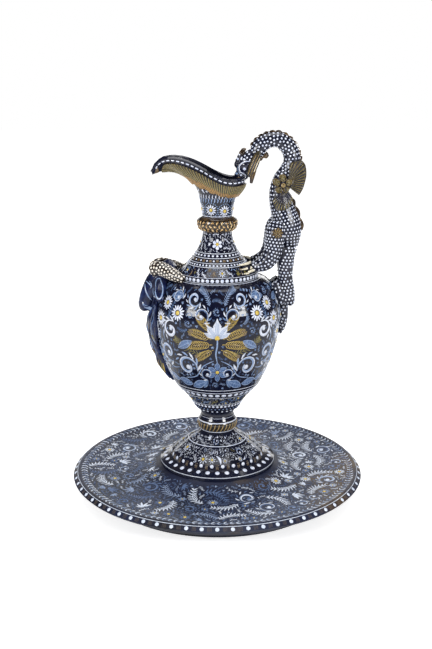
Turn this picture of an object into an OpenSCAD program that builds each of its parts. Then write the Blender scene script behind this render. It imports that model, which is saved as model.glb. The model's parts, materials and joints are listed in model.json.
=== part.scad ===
/* [Charger] */
// Gap between the edge of the ewer's foot and the edge of the raised seat
seat_margin = 1.8; // [0.5:0.1:10]
// Height of the raised seat above the table
seat_h = 34; // [30:0.5:45]
// Height of the dish's floor above the table
well_h = 25; // [22:0.5:30]
// Distance from the seat to the widest line of the rim
dish_w = 98; // [70:1:130]
// Height of the widest line of the rim above the table
rim_h = 23.5; // [20:0.5:30]
// Height of the slanting bead band above the widest line
bead_band_h = 4.5; // [3:0.5:8]
// Distance that the bead band leans inward
bead_band_in = 5; // [3:0.5:8]
// Thickness of the charger's clay
dish_wall = 9; // [6:0.5:11]
// Width of the foot ring where it touches the table
ring_w = 9; // [5:0.5:15]
// Distance from the rim's widest line in to the foot ring
ring_in = 36; // [25:1:50]

/* [Ewer heights] */
// Height of the foot
foot_h = 38.8; // [30:0.1:50]
// Height of the rope-twist knop on the stem
knop_h = 14.1; // [8:0.1:20]
// Height of the cup under the belly
cup_h = 43.8; // [34:0.1:55]
// Height of the belly
belly_h = 120.2; // [100:0.1:140]
// Height of the shoulder cone
shoulder_h = 29.4; // [24:0.1:36]
// Height of the neck below the collar
neck_h = 20.2; // [14:0.1:30]
// Height of the studded collar
collar_h = 16.9; // [10:0.1:24]
// Height of the throat between the collar and the spout
throat_h = 16.9; // [10:0.1:24]
// Rise of the lip's highest point above the throat
lip_rise = 47.2; // [38:0.1:56]

/* [Ewer radii] */
// Radius of the foot's flange
foot_r = 65.2; // [55:0.1:75]
// Radius of the stem at the ends of the knop
stem_r = 18.6; // [15:0.1:22]
// Radius of the knop
knop_r = 22.3; // [18:0.1:27]
// Radius at the joint between cup and belly
cup_r = 47.9; // [42:0.1:54]
// Largest radius of the belly
belly_r = 69.7; // [62:0.1:78]
// Radius of the shoulder's ledge
shoulder_r = 45; // [40:0.1:50]
// Radius at the joint between shoulder and neck
neck_base_r = 22; // [19:0.1:26]
// Radius of the neck where the collar sits
neck_r = 15.8; // [14:0.1:18]
// Radius of the collar
collar_r = 21.7; // [18:0.1:26]
// Radius at the top of the throat
throat_r = 18.7; // [16.5:0.1:22]
// Thickness of the ewer's clay
wall = 4; // [3:0.1:5]

/* [Lip] */
// Reach of the beak from the axis
beak_reach = 70; // [55:0.5:85]
// Reach of the lip's back edge from the axis
lip_back = 30; // [26:0.5:34]
// Half of the lip's width before it narrows to the beak
lip_half_w = 26.3; // [22:0.1:30]
// Thickness of the lip's clay at the rim
lip_wall = 3.4; // [2.6:0.1:4]
// Height of the rounded edge of the lip
lip_roll = 2.6; // [1.5:0.1:4]
// Thickness of the leaf band round the spout
band_t = 1.1; // [0.8:0.1:1.6]
// Depth of the ribs of the leaf band
band_rib = 0.6; // [0.2:0.1:1]
// Number of leaves in the band
band_leaves = 16; // [10:1:20]

/* [Dragon] */
// Reach of the dragon's back from the axis
dragon_reach = 91; // [86:0.5:100]
// Radius of the dragon's chest
chest_r = 15; // [12:0.5:17]
// Thickness of the folded wings
wing_t = 2.4; // [1.5:0.1:3.5]
// Depth of the ribs on wings and shells
wing_rib = 0.7; // [0.2:0.1:1.2]
// Radius of a rosette of petals at the root of a wing
rosette_r = 8.6; // [6:0.1:10]
// Radius of a swirl boss on the shoulder of a foreleg
boss_r = 6.3; // [5:0.1:8]
// Height of a swirl boss
boss_h = 3.6; // [2:0.1:5]
// Height of the crest along the nape
crest_h = 2.1; // [1.5:0.1:4]
// Thickness of the crest
crest_t = 3; // [2:0.1:5]

/* [Mask] */
// Depth of the ram's head in front of the belly
mask_d = 17; // [13:0.5:20]
// Half of the width of the ram's head
mask_half_w = 13; // [10:0.5:16]
// Radius of a horn at its root
horn_r = 7.6; // [6:0.1:9]
// Half of the width of the drape below the mask
drape_half_w = 25; // [20:0.5:30]
// Thickness of the drape at its middle
drape_t = 8.4; // [6:0.1:10]

/* [Fits] */
// Clearance between a piece and the surface that it is luted to
lute_gap = 0.3; // [0.2:0.05:0.4]

/* [Hidden] */
$fn = 96;

// Colours of the fired glazes
navy = "#15183a";
slip_blue = "#6f86bd";
gold = "#8a7444";
amber = "#b07a3a";
cream = "#cfc4b0";

// Levels, counted up from the table
foot_z = seat_h;
knop_z = foot_z + foot_h;
cup_z = knop_z + knop_h;
belly_z = cup_z + cup_h;
shoulder_z = belly_z + belly_h;
neck_z = shoulder_z + shoulder_h;
collar_z = neck_z + neck_h;
throat_z = collar_z + collar_h;
spout_z = throat_z + throat_h;

// Plain helpers
function mix(a, b, t) = a + (b - a) * t;
function unit(v) = v / norm(v);
function xyz(v) = [v[0], v[1], v[2]];
function total(list, k = 0) = k == len(list) - 1 ? list[k] : list[k] + total(list, k + 1);
function middle(list) = total(list) / len(list);
function turned(list) = [for (k = [len(list) - 1 : -1 : 0]) list[k]];

// A smooth curve through points a, b, c and d, at share t of the stretch from b to c
function bend(a, b, c, d, t) =
    (2 * b + (c - a) * t + (2 * a - 5 * b + 4 * c - d) * t ^ 2 + (3 * b - a - 3 * c + d) * t ^ 3) / 2;
function along(list, t) =
    let (last = len(list) - 1, k = t * last, i = min(floor(k), last - 1))
    bend(list[max(i - 1, 0)], list[i], list[i + 1], list[min(i + 2, last)], k - i);
function flow(list, steps) =
    let (n = steps * (len(list) - 1)) [for (k = [0 : n]) along(list, k / n)];

// An outline of [radius, height] points from its shares of a radius, a start level and a height
function outline(shares, r, z, h) = [for (s = shares) [s[0] * r, z + s[1] * h]];
// The same outline, set inward by the thickness of the clay, with its ends kept at their levels
function inset(list, d) = [for (k = [0 : len(list) - 1])
    let (
        last = len(list) - 1,
        t = unit(list[min(k + 1, last)] - list[max(k - 1, 0)]),
        end = k == 0 || k == last
    )
    end ? [list[k][0] - d, list[k][1]] : [list[k][0] - d * t[1], list[k][1] + d * t[0]]];

// Outlines of the thrown sections
foot_edge_shares = [[1, 0], [1, 0.14], [0.91, 0.21], [0.82, 0.24]];
foot_dome_shares = [[0.8, 0.34], [0.71, 0.47], [0.61, 0.6], [0.505, 0.73], [0.385, 0.86],
    [stem_r / foot_r, 1]];
knop_top_share = 0.92;
knop_shares = [[stem_r / knop_r, 0], [0.93, 0.24], [1, 0.56], [0.99, 0.8], [knop_top_share, 1]];
stem_shares = [[knop_top_share * knop_r / cup_r, 0], [0.388, 0.17], [0.522, 0.333], [0.61, 0.5], [0.72, 0.664], [0.864, 0.833], [1, 1]];
belly_shares = [[cup_r / belly_r, 0], [0.782, 0.119], [0.868, 0.239], [0.93, 0.356], [0.972, 0.468],
    [0.999, 0.6], [1, 0.68], [0.982, 0.75], [0.933, 0.834], [0.879, 0.909], [0.828, 0.955],
    [0.75, 0.986], [shoulder_r / belly_r, 1]];
ledge_shares = [[1, 0], [0.985, 0.187]];
cone_shares = [[0.93, 0.22], [0.738, 0.524], [0.6, 0.76], [neck_base_r / shoulder_r, 1]];
neck_shares = [[1, 0], [0.895, 0.238], [0.773, 0.564], [0.727, 0.891], [neck_r / neck_base_r, 1]];
collar_shares = [[neck_r / collar_r, 0], [0.9, 0.14], [1, 0.45], [0.99, 0.72], [0.9, 0.9], [neck_r / collar_r, 1]];
throat_shares = [[neck_r / throat_r, 0], [0.898, 0.231], [0.936, 0.615], [1, 1]];

foot_edge = outline(foot_edge_shares, foot_r, foot_z, foot_h);
foot_dome = flow(outline(foot_dome_shares, foot_r, foot_z, foot_h), 3);
knop_line = flow(outline(knop_shares, knop_r, knop_z, knop_h), 4);
cup_line = flow(outline(stem_shares, cup_r, cup_z, cup_h), 3);
belly_line = flow(outline(belly_shares, belly_r, belly_z, belly_h), 2);
ledge_line = outline(ledge_shares, shoulder_r, shoulder_z, shoulder_h);
cone_line = flow(outline(cone_shares, shoulder_r, shoulder_z, shoulder_h), 3);
neck_line = flow(outline(neck_shares, neck_base_r, neck_z, neck_h), 2);
collar_line = flow(outline(collar_shares, collar_r, collar_z, collar_h), 3);
throat_line = flow(outline(throat_shares, throat_r, throat_z, throat_h), 3);

// Radius of the ewer's outside at a height, where ornaments are luted on
pot_table = [for (p = concat(foot_edge, foot_dome, knop_line, cup_line, belly_line, ledge_line,
    cone_line, neck_line, collar_line, throat_line)) [p[1], p[0]]];
function pot_r(z) = lookup(z, pot_table);
function off_pot(p, gap) =
    let (r = norm([p[0], p[1]]), need = pot_r(p[2]) + gap)
    r >= need ? p : [p[0] * need / r, p[1] * need / r, p[2]];
// A point on the ewer's outside, at an angle round the axis and a rise above the surface
function on_pot(turn, z, rise) = [(pot_r(z) + rise) * cos(turn), (pot_r(z) + rise) * sin(turn), z];

// A point pushed clear of a tube, whose path is a list of [x, y, z, radius]
function off_tube(p, tube, gap) =
    let (
        room = [for (s = tube) norm(p - xyz(s)) - s[3]],
        least = min(room),
        i = search(least, room)[0]
    )
    least >= gap ? p : xyz(tube[i]) + unit(p - xyz(tube[i])) * (tube[i][3] + gap);

// Rings of a tube along a path of [x, y, z, radius], flattened across by a share
function tube_rings(path, sides, flat = 1) = [for (i = [0 : len(path) - 1])
    let (
        ahead = path[min(i + 1, len(path) - 1)],
        behind = path[max(i - 1, 0)],
        t = unit(xyz(ahead) - xyz(behind)),
        n = unit(cross([0, 1, 0], t)),
        s = cross(t, n)
    )
    [for (k = [0 : sides - 1])
        let (w = 360 * k / sides)
        xyz(path[i]) + path[i][3] * (cos(w) * n + flat * sin(w) * s)]];

// A closed skin over a row of rings, capped at both ends
module skin(rings) {
    n = len(rings[0]);
    m = len(rings);
    points = concat([for (r = rings) each r], [middle(rings[0]), middle(rings[m - 1])]);
    sides = [for (i = [0 : m - 2]) for (j = [0 : n - 1])
        let (a = i * n + j, b = i * n + (j + 1) % n)
        each [[a, b, b + n], [a, b + n, a + n]]];
    first = [for (j = [0 : n - 1]) [m * n, (j + 1) % n, j]];
    last = [for (j = [0 : n - 1]) [m * n + 1, (m - 1) * n + j, (m - 1) * n + (j + 1) % n]];
    polyhedron(points, concat(sides, first, last));
}
// A closed skin over rings whose last ring meets the first
module band_skin(rings) {
    n = len(rings[0]);
    m = len(rings);
    points = [for (r = rings) each r];
    polyhedron(points, [for (i = [0 : m - 1]) for (j = [0 : n - 1])
        let (u = (i + 1) % m, a = i * n + j, b = i * n + (j + 1) % n, c = u * n + j, d = u * n + (j + 1) % n)
        each [[a, d, b], [a, c, d]]]);
}
module revolved(line, inner) {
    rotate_extrude() polygon(concat(line, turned(inner)));
}
module mirrored_far() {
    mirror([0, 1, 0]) children();
}

// Charger
seat_r = foot_r + seat_margin;
rim_r = seat_r + dish_w;
rim_top_z = rim_h + bead_band_h;
rim_land_r = rim_r - bead_band_in;
ring_r = rim_r - ring_in;
dish_top_shares = [[0, 1], [0.075, 0.6], [0.18, 0.2], [0.32, 0], [0.6, 0.01], [0.84, 0.22], [0.92, 0.36]];
dish_under_shares = [[0, 0.9], [0.075, 0.5], [0.18, 0.12], [0.32, 0], [0.48, 0]];
ring_taper_share = 0.35;
module charger() {
    top = flow([for (s = dish_top_shares)
        [seat_r + s[0] * dish_w, mix(well_h, seat_h, s[1])]], 3);
    under = flow([for (s = dish_under_shares)
        [seat_r + s[0] * dish_w, mix(well_h, seat_h, s[1]) - dish_wall]], 2);
    color(navy)
    rotate_extrude()
    polygon(concat(
        [[0, seat_h]],
        top,
        [[rim_land_r, rim_top_z], [rim_r, rim_h], [rim_r - lip_roll, rim_h - lip_roll]],
        [[ring_r + ring_w * ring_taper_share, ring_w * ring_taper_share], [ring_r, 0], [ring_r - ring_w, 0]],
        turned(under),
        [[0, seat_h - dish_wall]]
    ));
}

// Thrown sections of the ewer
foot_hollow_shares = [[0.88, 0], [0.86, 0.08], [0.74, 0.16], [0.7, 0.28], [0.5, 0.55], [0.28, 0.75], [0, 0.82]];
cup_hollow_shares = [[1, 1], [0.85, 0.85], [0.66, 0.68], [0.42, 0.5], [0.18, 0.42], [0, 0.4]];
module foot() {
    hollow = outline(foot_hollow_shares, foot_r, foot_z, foot_h);
    color(navy) revolved(concat(foot_edge, foot_dome, [[0, knop_z]]), hollow);
}
module stem_knop() {
    color(gold) revolved(knop_line, [[0, knop_z], [0, cup_z]]);
}
module cup() {
    hollow = outline(turned(cup_hollow_shares), cup_r - wall, cup_z, cup_h);
    color(navy) revolved(cup_line, concat([[0, cup_z]], flow(hollow, 2)));
}
module belly() {
    color(navy) revolved(belly_line, inset(belly_line, wall));
}
module shoulder() {
    inner = inset(concat([ledge_line[0]], cone_line), wall);
    color(navy) revolved(concat(ledge_line, cone_line), inner);
}
module neck() {
    color(navy) revolved(neck_line, inset(neck_line, wall));
}
module collar() {
    bore = [for (t = [0, 1]) [neck_r - wall, mix(collar_z, throat_z, t)]];
    color(amber) revolved(collar_line, bore);
}
module throat() {
    color(navy) revolved(throat_line, inset(throat_line, wall));
}

// Lip of the ewer: a surface from the throat's round edge to the beaked rim
rim_rise_shares = [0.544, 0.54, 0.533, 0.522, 0.52, 0.56, 0.66, 0.81, 0.94, 1, 0.96, 0.81, 0.63];
lip_cols = 48;
lip_rows = 9;
beak_power = 3;
beak_end_power = 14;
beak_narrow_share = 0.35;
beak_droop_share = 0.27;
beak_pull_share = 0.53;
lip_lift_shares = [0.19, 0.5];
lip_flare_share = 1.13;
lip_flare_drop_share = 0.27;
lip_step_share = 0.01;
lip_swell_share = 0.125;
function beak(u) = (1 - cos(u)) / 2;
function lip_edge(u) =
    let (
        f = abs(u > 180 ? 360 - u : u) / 180,
        x = lip_back * cos(u) - (beak_reach - lip_back) * beak(u) ^ beak_power,
        y = lip_half_w * sin(u) * (1 - beak_narrow_share * beak(u) ^ 2),
        z = spout_z + lip_rise * along(rim_rise_shares, f) - lip_roll
    )
    [x, y, z];
function lip_point(u, s) =
    let (
        e = lip_edge(u),
        tip = beak(u) ^ beak_end_power,
        h = e[2] - spout_z,
        a = [throat_r * cos(u), throat_r * sin(u), spout_z],
        rise = lip_rise * mix(lip_lift_shares[0], lip_lift_shares[1], beak(u) ^ 2),
        b = [a[0] * lip_flare_share, a[1] * lip_flare_share, spout_z + rise],
        c = e + lip_rise * [beak_pull_share * tip, 0, mix(-lip_flare_drop_share, beak_droop_share, tip)],
        r = 1 - s
    )
    a * r ^ 3 + 3 * b * s * r ^ 2 + 3 * c * s ^ 2 * r + e * s ^ 3;
function lip_normal(u, s) =
    let (
        lo = max(s - lip_step_share, 0),
        hi = min(s + lip_step_share, 1),
        across = lip_point(u + 1, s) - lip_point(u - 1, s),
        up = lip_point(u, hi) - lip_point(u, lo)
    )
    unit(cross(across, up));
function lip_ring(s, out) = [for (k = [0 : lip_cols - 1])
    let (u = 360 * k / lip_cols, p = lip_point(u, s) + out * lip_normal(u, s))
    s == 0 ? [p[0], p[1], spout_z] : p];
function lip_wall_at(s) = mix(wall, lip_wall, s);
module spout() {
    outer = [for (k = [0 : lip_rows]) lip_ring(k / lip_rows, 0)];
    inner = [for (k = [lip_rows : -1 : 0]) lip_ring(k / lip_rows, -lip_wall_at(k / lip_rows))];
    crown = [for (p = lip_ring(1, -lip_wall / 2)) p + [0, 0, lip_roll]];
    swell = [for (p = lip_ring(1, lip_wall * lip_swell_share)) p + [0, 0, lip_roll / 2]];
    lap = [for (p = lip_ring(1, -lip_wall)) p + [0, 0, lip_roll / 2]];
    color(navy) band_skin(concat(outer, [swell, crown, lap], inner));
}

// Leaf band: a ribbed skin on the outside of the spout, with a scalloped lower edge
band_cols_per_leaf = 6;
band_rows = 4;
band_low_share = 0.3;
band_beak_share = 0.12;
band_lobe_share = 0.07;
band_top_share = 0.86;
function band_s(u, t) =
    let (lobe = band_lobe_share * abs(sin(u * band_leaves / 2)))
    mix(band_low_share + band_beak_share * beak(u) ^ 2 - lobe, band_top_share, t);
function band_point(u, t, out) =
    let (s = band_s(u, t))
    lip_point(u, s) + out * lip_normal(u, s);
module leaf_band() {
    cols = band_leaves * band_cols_per_leaf;
    function row(t, out, rib) = [for (k = [0 : cols - 1])
        let (u = 360 * k / cols)
        band_point(u, t, out + rib * (k % 2))];
    inner = [for (k = [0 : band_rows]) row(k / band_rows, lute_gap, 0)];
    outer = [for (k = [band_rows : -1 : 0]) row(k / band_rows, lute_gap + band_t, band_rib)];
    color(gold) band_skin(turned(concat(inner, outer)));
}

// The dragon's frame: from the lip's back edge out to its back, and from the shoulder up to the lip
lip_back_z = lip_edge(0)[2] + lip_roll;
function dragon_x(s) = mix(lip_back, dragon_reach, s);
function dragon_z(s) = mix(shoulder_z, lip_back_z, s);
function dragon_path(shares, y = 0) =
    [for (s = shares) [dragon_x(s[0]), y, dragon_z(s[1]), s[2] * chest_r]];

// Trunk: the neck's arch and the body, as shares of the frame and of the chest's radius
trunk_shares = [[0.19, 1.23, 0.5], [0.27, 1.3, 0.53], [0.42, 1.35, 0.52], [0.6, 1.348, 0.53],
    [0.76, 1.27, 0.56], [0.82, 1.16, 0.58], [0.76, 1.06, 0.6], [0.65, 0.97, 0.62], [0.6, 0.87, 0.66],
    [0.62, 0.76, 0.76], [0.68, 0.65, 0.88], [0.74, 0.52, 1], [0.76, 0.4, 0.96], [0.77, 0.29, 0.68]];
trunk_sides = 14;
trunk = flow(dragon_path(trunk_shares), 3);
trunk_fine = flow(dragon_path(trunk_shares), 8);
module dragon_trunk() {
    color(navy) skin(tube_rings(trunk, trunk_sides));
}

// Head: it bites over the lip's back edge
head_shares = [[0.155, 1.21, 0.48], [0.09, 1.175, 0.56], [0.03, 1.13, 0.58], [-0.04, 1.08, 0.46],
    [-0.09, 1.05, 0.32], [-0.125, 1.032, 0.18]];
jaw_shares = [[0.165, 1.1, 0.16], [0.15, 1.06, 0.2], [0.125, 1, 0.18], [0.105, 0.93, 0.1]];
head_sides = 14;
jaw_sides = 10;
head_path = flow(dragon_path(head_shares), 3);
jaw_path = flow(dragon_path(jaw_shares), 3);
function off_lip(p, gap) = p[2] < lip_back_z + gap ? [p[0], p[1], lip_back_z + gap] : p;
function outside_lip(p, gap) =
    let (need = lip_back + lip_wall * lip_swell_share + gap)
    p[2] < lip_back_z + gap && p[0] < need ? [need, p[1], p[2]] : p;
module dragon_head() {
    rings = tube_rings(head_path, head_sides);
    color(navy)
    skin([for (r = rings) [for (p = r) off_lip(off_tube(p, trunk_fine, lute_gap), lute_gap)]]);
}
module dragon_jaw() {
    rings = tube_rings(jaw_path, jaw_sides);
    color(amber)
    skin([for (r = rings) [for (p = r)
        outside_lip(off_tube(off_tube(p, trunk_fine, lute_gap), head_path, lute_gap), lute_gap + band_t + band_rib)]]);
}

// Ear fins: long leaves beside the head
ear_shares = [[0.24, 1.25, 0.1], [0.2, 1.2, 0.26], [0.145, 1.12, 0.32], [0.09, 1.05, 0.24], [0.06, 1, 0.06]];
ear_flat_share = 0.35;
ear_y_share = 0.66;
ear_y = ear_y_share * chest_r;
ear_sides = 10;
module ear() {
    rings = tube_rings(flow(dragon_path(ear_shares, -ear_y), 3), ear_sides, ear_flat_share);
    head_room = concat(head_path, trunk_fine);
    color(gold)
    skin([for (r = rings) [for (p = r)
        outside_lip(off_tube(off_tube(p, head_room, lute_gap), jaw_path, lute_gap), lute_gap + band_t + band_rib)]]);
}
module ear_near() { ear(); }
module ear_far() { mirrored_far() ear(); }

// Knobs on the brow and under the nape
brow_shares = [[-0.01, 1.24, 0.22], [-0.045, 1.25, 0.2], [-0.07, 1.26, 0.1]];
nape_shares = [[0.33, 1.22, 0.2], [0.36, 1.2, 0.22], [0.39, 1.185, 0.12]];
knob_sides = 10;
module knob(shares) {
    rings = tube_rings(flow(dragon_path(shares), 2), knob_sides);
    room = concat(head_path, trunk_fine);
    skin([for (r = rings) [for (p = r) off_tube(p, room, lute_gap)]]);
}
module head_knobs() {
    color(amber) {
        knob(brow_shares);
        knob(nape_shares);
    }
}

// Crest: scalloped ridges along the dragon's nape and back
nape_span_shares = [0.03, 0.42];
back_span_shares = [0.69, 0.89];
nape_lobes = 12;
back_lobes = 3;
back_crest_scale = 1.6;
crest_root_share = 0.35;
crest_top_w_share = 0.6;
crest_steps = 6;
module ridge(span, lobes, size) {
    steps = lobes * crest_steps;
    color(amber)
    skin([for (j = [0 : steps])
        let (
            share = mix(span[0], span[1], j / steps),
            here = along(trunk, share),
            ahead = along(trunk, share + lip_step_share),
            out = -unit(cross([0, 1, 0], unit(xyz(ahead) - xyz(here)))),
            seat = xyz(here) + out * (here[3] + lute_gap),
            top = seat + out * crest_h * size * mix(crest_root_share, 1, abs(sin(180 * j / crest_steps))),
            side = [0, crest_t / 2, 0]
        )
        [seat - side, seat + side, top + side * crest_top_w_share, top - side * crest_top_w_share]]);
}
module crest() {
    ridge(nape_span_shares, nape_lobes, 1);
    ridge(back_span_shares, back_lobes, back_crest_scale);
}

// A ribbed fan round a hub: rays from a start angle to an end angle, with their reach as shares
fan_rows = 3;
fan_root_share = 0.15;
function fan_rings(hub, turns, reach_shares, y_share) =
    let (cols = wing_ribs * 2, y = -y_share * chest_r)
    [for (j = [0 : cols])
        let (
            turn = mix(turns[0], turns[1], j / cols),
            ray = wing_reach * along(reach_shares, j / cols),
            rib = wing_rib * (j % 2),
            front = [for (k = [0 : fan_rows])
                let (d = ray * mix(fan_root_share, 1, k / fan_rows))
                [hub[0] + d * cos(turn), y - wing_t - rib * k / fan_rows, hub[1] + d * sin(turn)]],
            back = [for (k = [fan_rows : -1 : 0])
                let (d = ray * mix(fan_root_share, 1, k / fan_rows))
                [hub[0] + d * cos(turn), y, hub[1] + d * sin(turn)]]
        )
        concat(front, back)];
function fan_seat(rings, room) = [for (r = rings) [for (k = [0 : len(r) - 1])
    off_tube(r[k], room, k <= fan_rows ? lute_gap + wing_t : lute_gap)]];

// Wings folded on the dragon's back, and the lower shells on its sides
wing_reach_shares = [0.8, 1, 0.86, 0.72, 0.66, 0.64];
shell_reach_shares = [0.5, 0.7, 0.83, 0.82, 0.66];
fan_hub = [dragon_x(0.69), dragon_z(0.93)];
wing_reach_share = 0.5;
wing_reach = (dragon_reach - lip_back) * wing_reach_share;
wing_turns = [74, -38];
shell_turns = [306, 230];
wing_ribs = 9;
wing_y_share = 0.3;
shell_y_share = 0.62;
module wing() {
    rings = fan_rings(fan_hub, wing_turns, wing_reach_shares, wing_y_share);
    color(gold) skin(fan_seat(rings, trunk_fine));
}
module shell() {
    rings = fan_rings(fan_hub - [0, wing_t], shell_turns, shell_reach_shares, shell_y_share);
    color(gold) skin(fan_seat(rings, trunk_fine));
}
module wing_near() { wing(); }
module wing_far() { mirrored_far() wing(); }
module shell_near() { shell(); }
module shell_far() { mirrored_far() shell(); }

// Rosettes of petals over the roots of wings and shells, as rings of [radius, height] shares
petal_count = 6;
petal_points = 6;
petal_notch_share = 0.22;
petal_fade_share = 0.4;
hub_trunk_share = 0.64;
rosette_h_share = 0.36;
rosette_h = rosette_h_share * rosette_r;
rosette_ring_shares = [[1, 0], [1, 0.6], [0.8, 1], [0.5, 0.8], [0.42, 1.2], [0.3, 1.75], [0.12, 2]];
rosette_back = -(hub_trunk_share * chest_r + wing_t + 2 * lute_gap);
module rosette() {
    n = petal_count * petal_points;
    color(gold)
    skin([for (s = rosette_ring_shares) [for (k = [0 : n - 1])
        let (
            w = 360 * k / n,
            notch = petal_notch_share * (1 - abs(sin(w * petal_count / 2))),
            r = rosette_r * s[0] * (1 - (s[0] > petal_fade_share ? notch : 0))
        )
        [fan_hub[0] - wing_t + r * cos(w), rosette_back - rosette_h * s[1], fan_hub[1] + r * sin(w)]]]);
}
module rosette_near() { rosette(); }
module rosette_far() { mirrored_far() rosette(); }

// Forelegs: from the chest down to the ewer's shoulder, with claws on the cone
foreleg_shares = [[0.555, 0.56, 0.42], [0.53, 0.48, 0.62], [0.515, 0.37, 0.66], [0.475, 0.255, 0.64],
    [0.37, 0.165, 0.56], [0.22, 0.132, 0.42], [0.14, 0.138, 0.26], [0.12, 0.137, 0.14]];
foreleg_y_shares = [0.88, 0.95, 1, 1.05, 1.1, 1.12, 1.14, 1.14];
paw_turn = -27;
paw_z_shares = [0.42, 0.58];
leg_sides = 12;
claw_sides = 6;
claw_r_share = 0.14;
claw_r = claw_r_share * chest_r;
claw_spread = 10;
claw_start_shares = [1.5, 1.75, 0.4];
claw_rise_shares = [1.8, 1.05];
claw_tip_share = 0.4;
function leg_path(shares, y_shares) = [for (k = [0 : len(shares) - 1])
    [dragon_x(shares[k][0]), -y_shares[k] * chest_r, dragon_z(shares[k][1]), shares[k][2] * chest_r]];
function fit_to_pot(rings, gap) = [for (r = rings) [for (p = r) off_pot(p, gap)]];
function fit_to_tube(rings, room) = [for (r = rings) [for (p = r) off_tube(p, room, lute_gap)]];
foreleg = flow(leg_path(foreleg_shares, foreleg_y_shares), 3);
foreleg_fine = flow(leg_path(foreleg_shares, foreleg_y_shares), 6);
module claw(side) {
    turn = paw_turn - side * claw_spread;
    palm = foreleg[len(foreleg) - 1];
    off = claw_r * claw_start_shares;
    start = [palm[0] - off[0], palm[1] - side * off[1], palm[2] - off[2], claw_r];
    knuckle = on_pot(turn, mix(shoulder_z, neck_z, paw_z_shares[0]), claw_r * claw_rise_shares[0]);
    tip = on_pot(turn, mix(shoulder_z, neck_z, paw_z_shares[1]), claw_r * claw_rise_shares[1] + lute_gap);
    path = [start, concat(knuckle, [claw_r]), concat(tip, [claw_r * claw_tip_share])];
    skin(fit_to_pot(fit_to_tube(tube_rings(flow(path, 3), claw_sides), foreleg), lute_gap));
}
module foreleg_side() {
    color(navy) skin(fit_to_pot(fit_to_tube(tube_rings(foreleg, leg_sides), trunk_fine), lute_gap));
    color(cream)
    for (side = [-1 : 1]) claw(side);
}
module foreleg_near() { foreleg_side(); }
module foreleg_far() { mirrored_far() foreleg_side(); }

// Swirl bosses on the shoulders of the forelegs
boss_points = 9;
boss_twist = 50;
boss_top_share = 0.35;
boss_notch_share = 0.8;
boss_slices = 4;
boss_seat_shares = [0.56, 0.47];
module boss() {
    seat = foreleg[4];
    color(amber)
    translate([dragon_x(boss_seat_shares[0]), seat[1] - seat[3] - lute_gap, dragon_z(boss_seat_shares[1])])
    rotate([90, 0, 0])
    linear_extrude(boss_h, twist = boss_twist, scale = boss_top_share, slices = boss_slices, $fn = 2 * boss_points)
    polygon([for (k = [0 : 2 * boss_points - 1])
        let (w = 180 * k / boss_points, r = boss_r * (k % 2 == 0 ? 1 : boss_notch_share))
        [r * cos(w), r * sin(w)]]);
}
module boss_near() { boss(); }
module boss_far() { mirrored_far() boss(); }

// Hind legs: thigh down to the hock, then up the shin to a foot on the belly
thigh_shares = [[0.75, 0.32, 0.56], [0.735, 0.2, 0.58], [0.73, 0.03, 0.48], [0.78, -0.13, 0.44],
    [0.82, -0.24, 0.32], [0.83, -0.285, 0.14]];
thigh_y_shares = [0.82, 0.8, 0.72, 0.7, 0.7, 0.7];
shin_turn = -10;
shin_z_shares = [-0.25, -0.17, -0.1, -0.05];
shin_r_share = 0.34;
shin_r = shin_r_share * chest_r;
inner_y_share = 0.36;
inner_y = inner_y_share * chest_r;
thigh = flow(leg_path(thigh_shares, thigh_y_shares), 3);
leg_room = [for (s = foreleg_fine) concat(xyz(s), [s[3] + lute_gap])];
function off_middle(p) = p[1] > -inner_y ? [p[0], -inner_y, p[2]] : p;
module hindleg_side() {
    shin = flow([for (s = shin_z_shares) concat(on_pot(shin_turn, dragon_z(s), shin_r), [shin_r])], 3);
    thigh_rings = fit_to_tube(fit_to_tube(tube_rings(thigh, leg_sides), leg_room), concat(trunk_fine, leg_room));
    shin_rings = fit_to_tube(tube_rings(shin, leg_sides), thigh);
    color(navy) {
        skin([for (r = fit_to_pot(thigh_rings, lute_gap)) [for (p = r) off_middle(p)]]);
        skin([for (r = fit_to_pot(shin_rings, lute_gap)) [for (p = r) off_middle(p)]]);
    }
}
module hindleg_near() { hindleg_side(); }
module hindleg_far() { mirrored_far() hindleg_side(); }

// Tail: from the body down between the legs, then pressed along the belly
tail_top_shares = [[0.775, 0.28, 0.52], [0.78, 0.15, 0.34], [0.77, 0, 0.32]];
tail_z_shares = [-0.2, -0.32, -0.44, -0.53, -0.6];
tail_r_shares = [0.31, 0.3, 0.28, 0.24, 0.12];
tail_sides = 10;
module tail() {
    top = [for (s = tail_top_shares) [dragon_x(s[0]), 0, dragon_z(s[1]), min(s[2] * chest_r, inner_y - lute_gap)]];
    low = [for (k = [0 : len(tail_z_shares) - 1])
        let (r = tail_r_shares[k] * chest_r)
        concat(on_pot(0, dragon_z(tail_z_shares[k]), r), [r])];
    room = inner_y - lute_gap;
    rings = fit_to_tube(tube_rings(flow(concat(top, low), 3), tail_sides), trunk_fine);
    color(navy)
    skin([for (r = fit_to_pot(rings, lute_gap)) [for (p = r) [p[0], min(max(p[1], -room), room), p[2]]]]);
}

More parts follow.
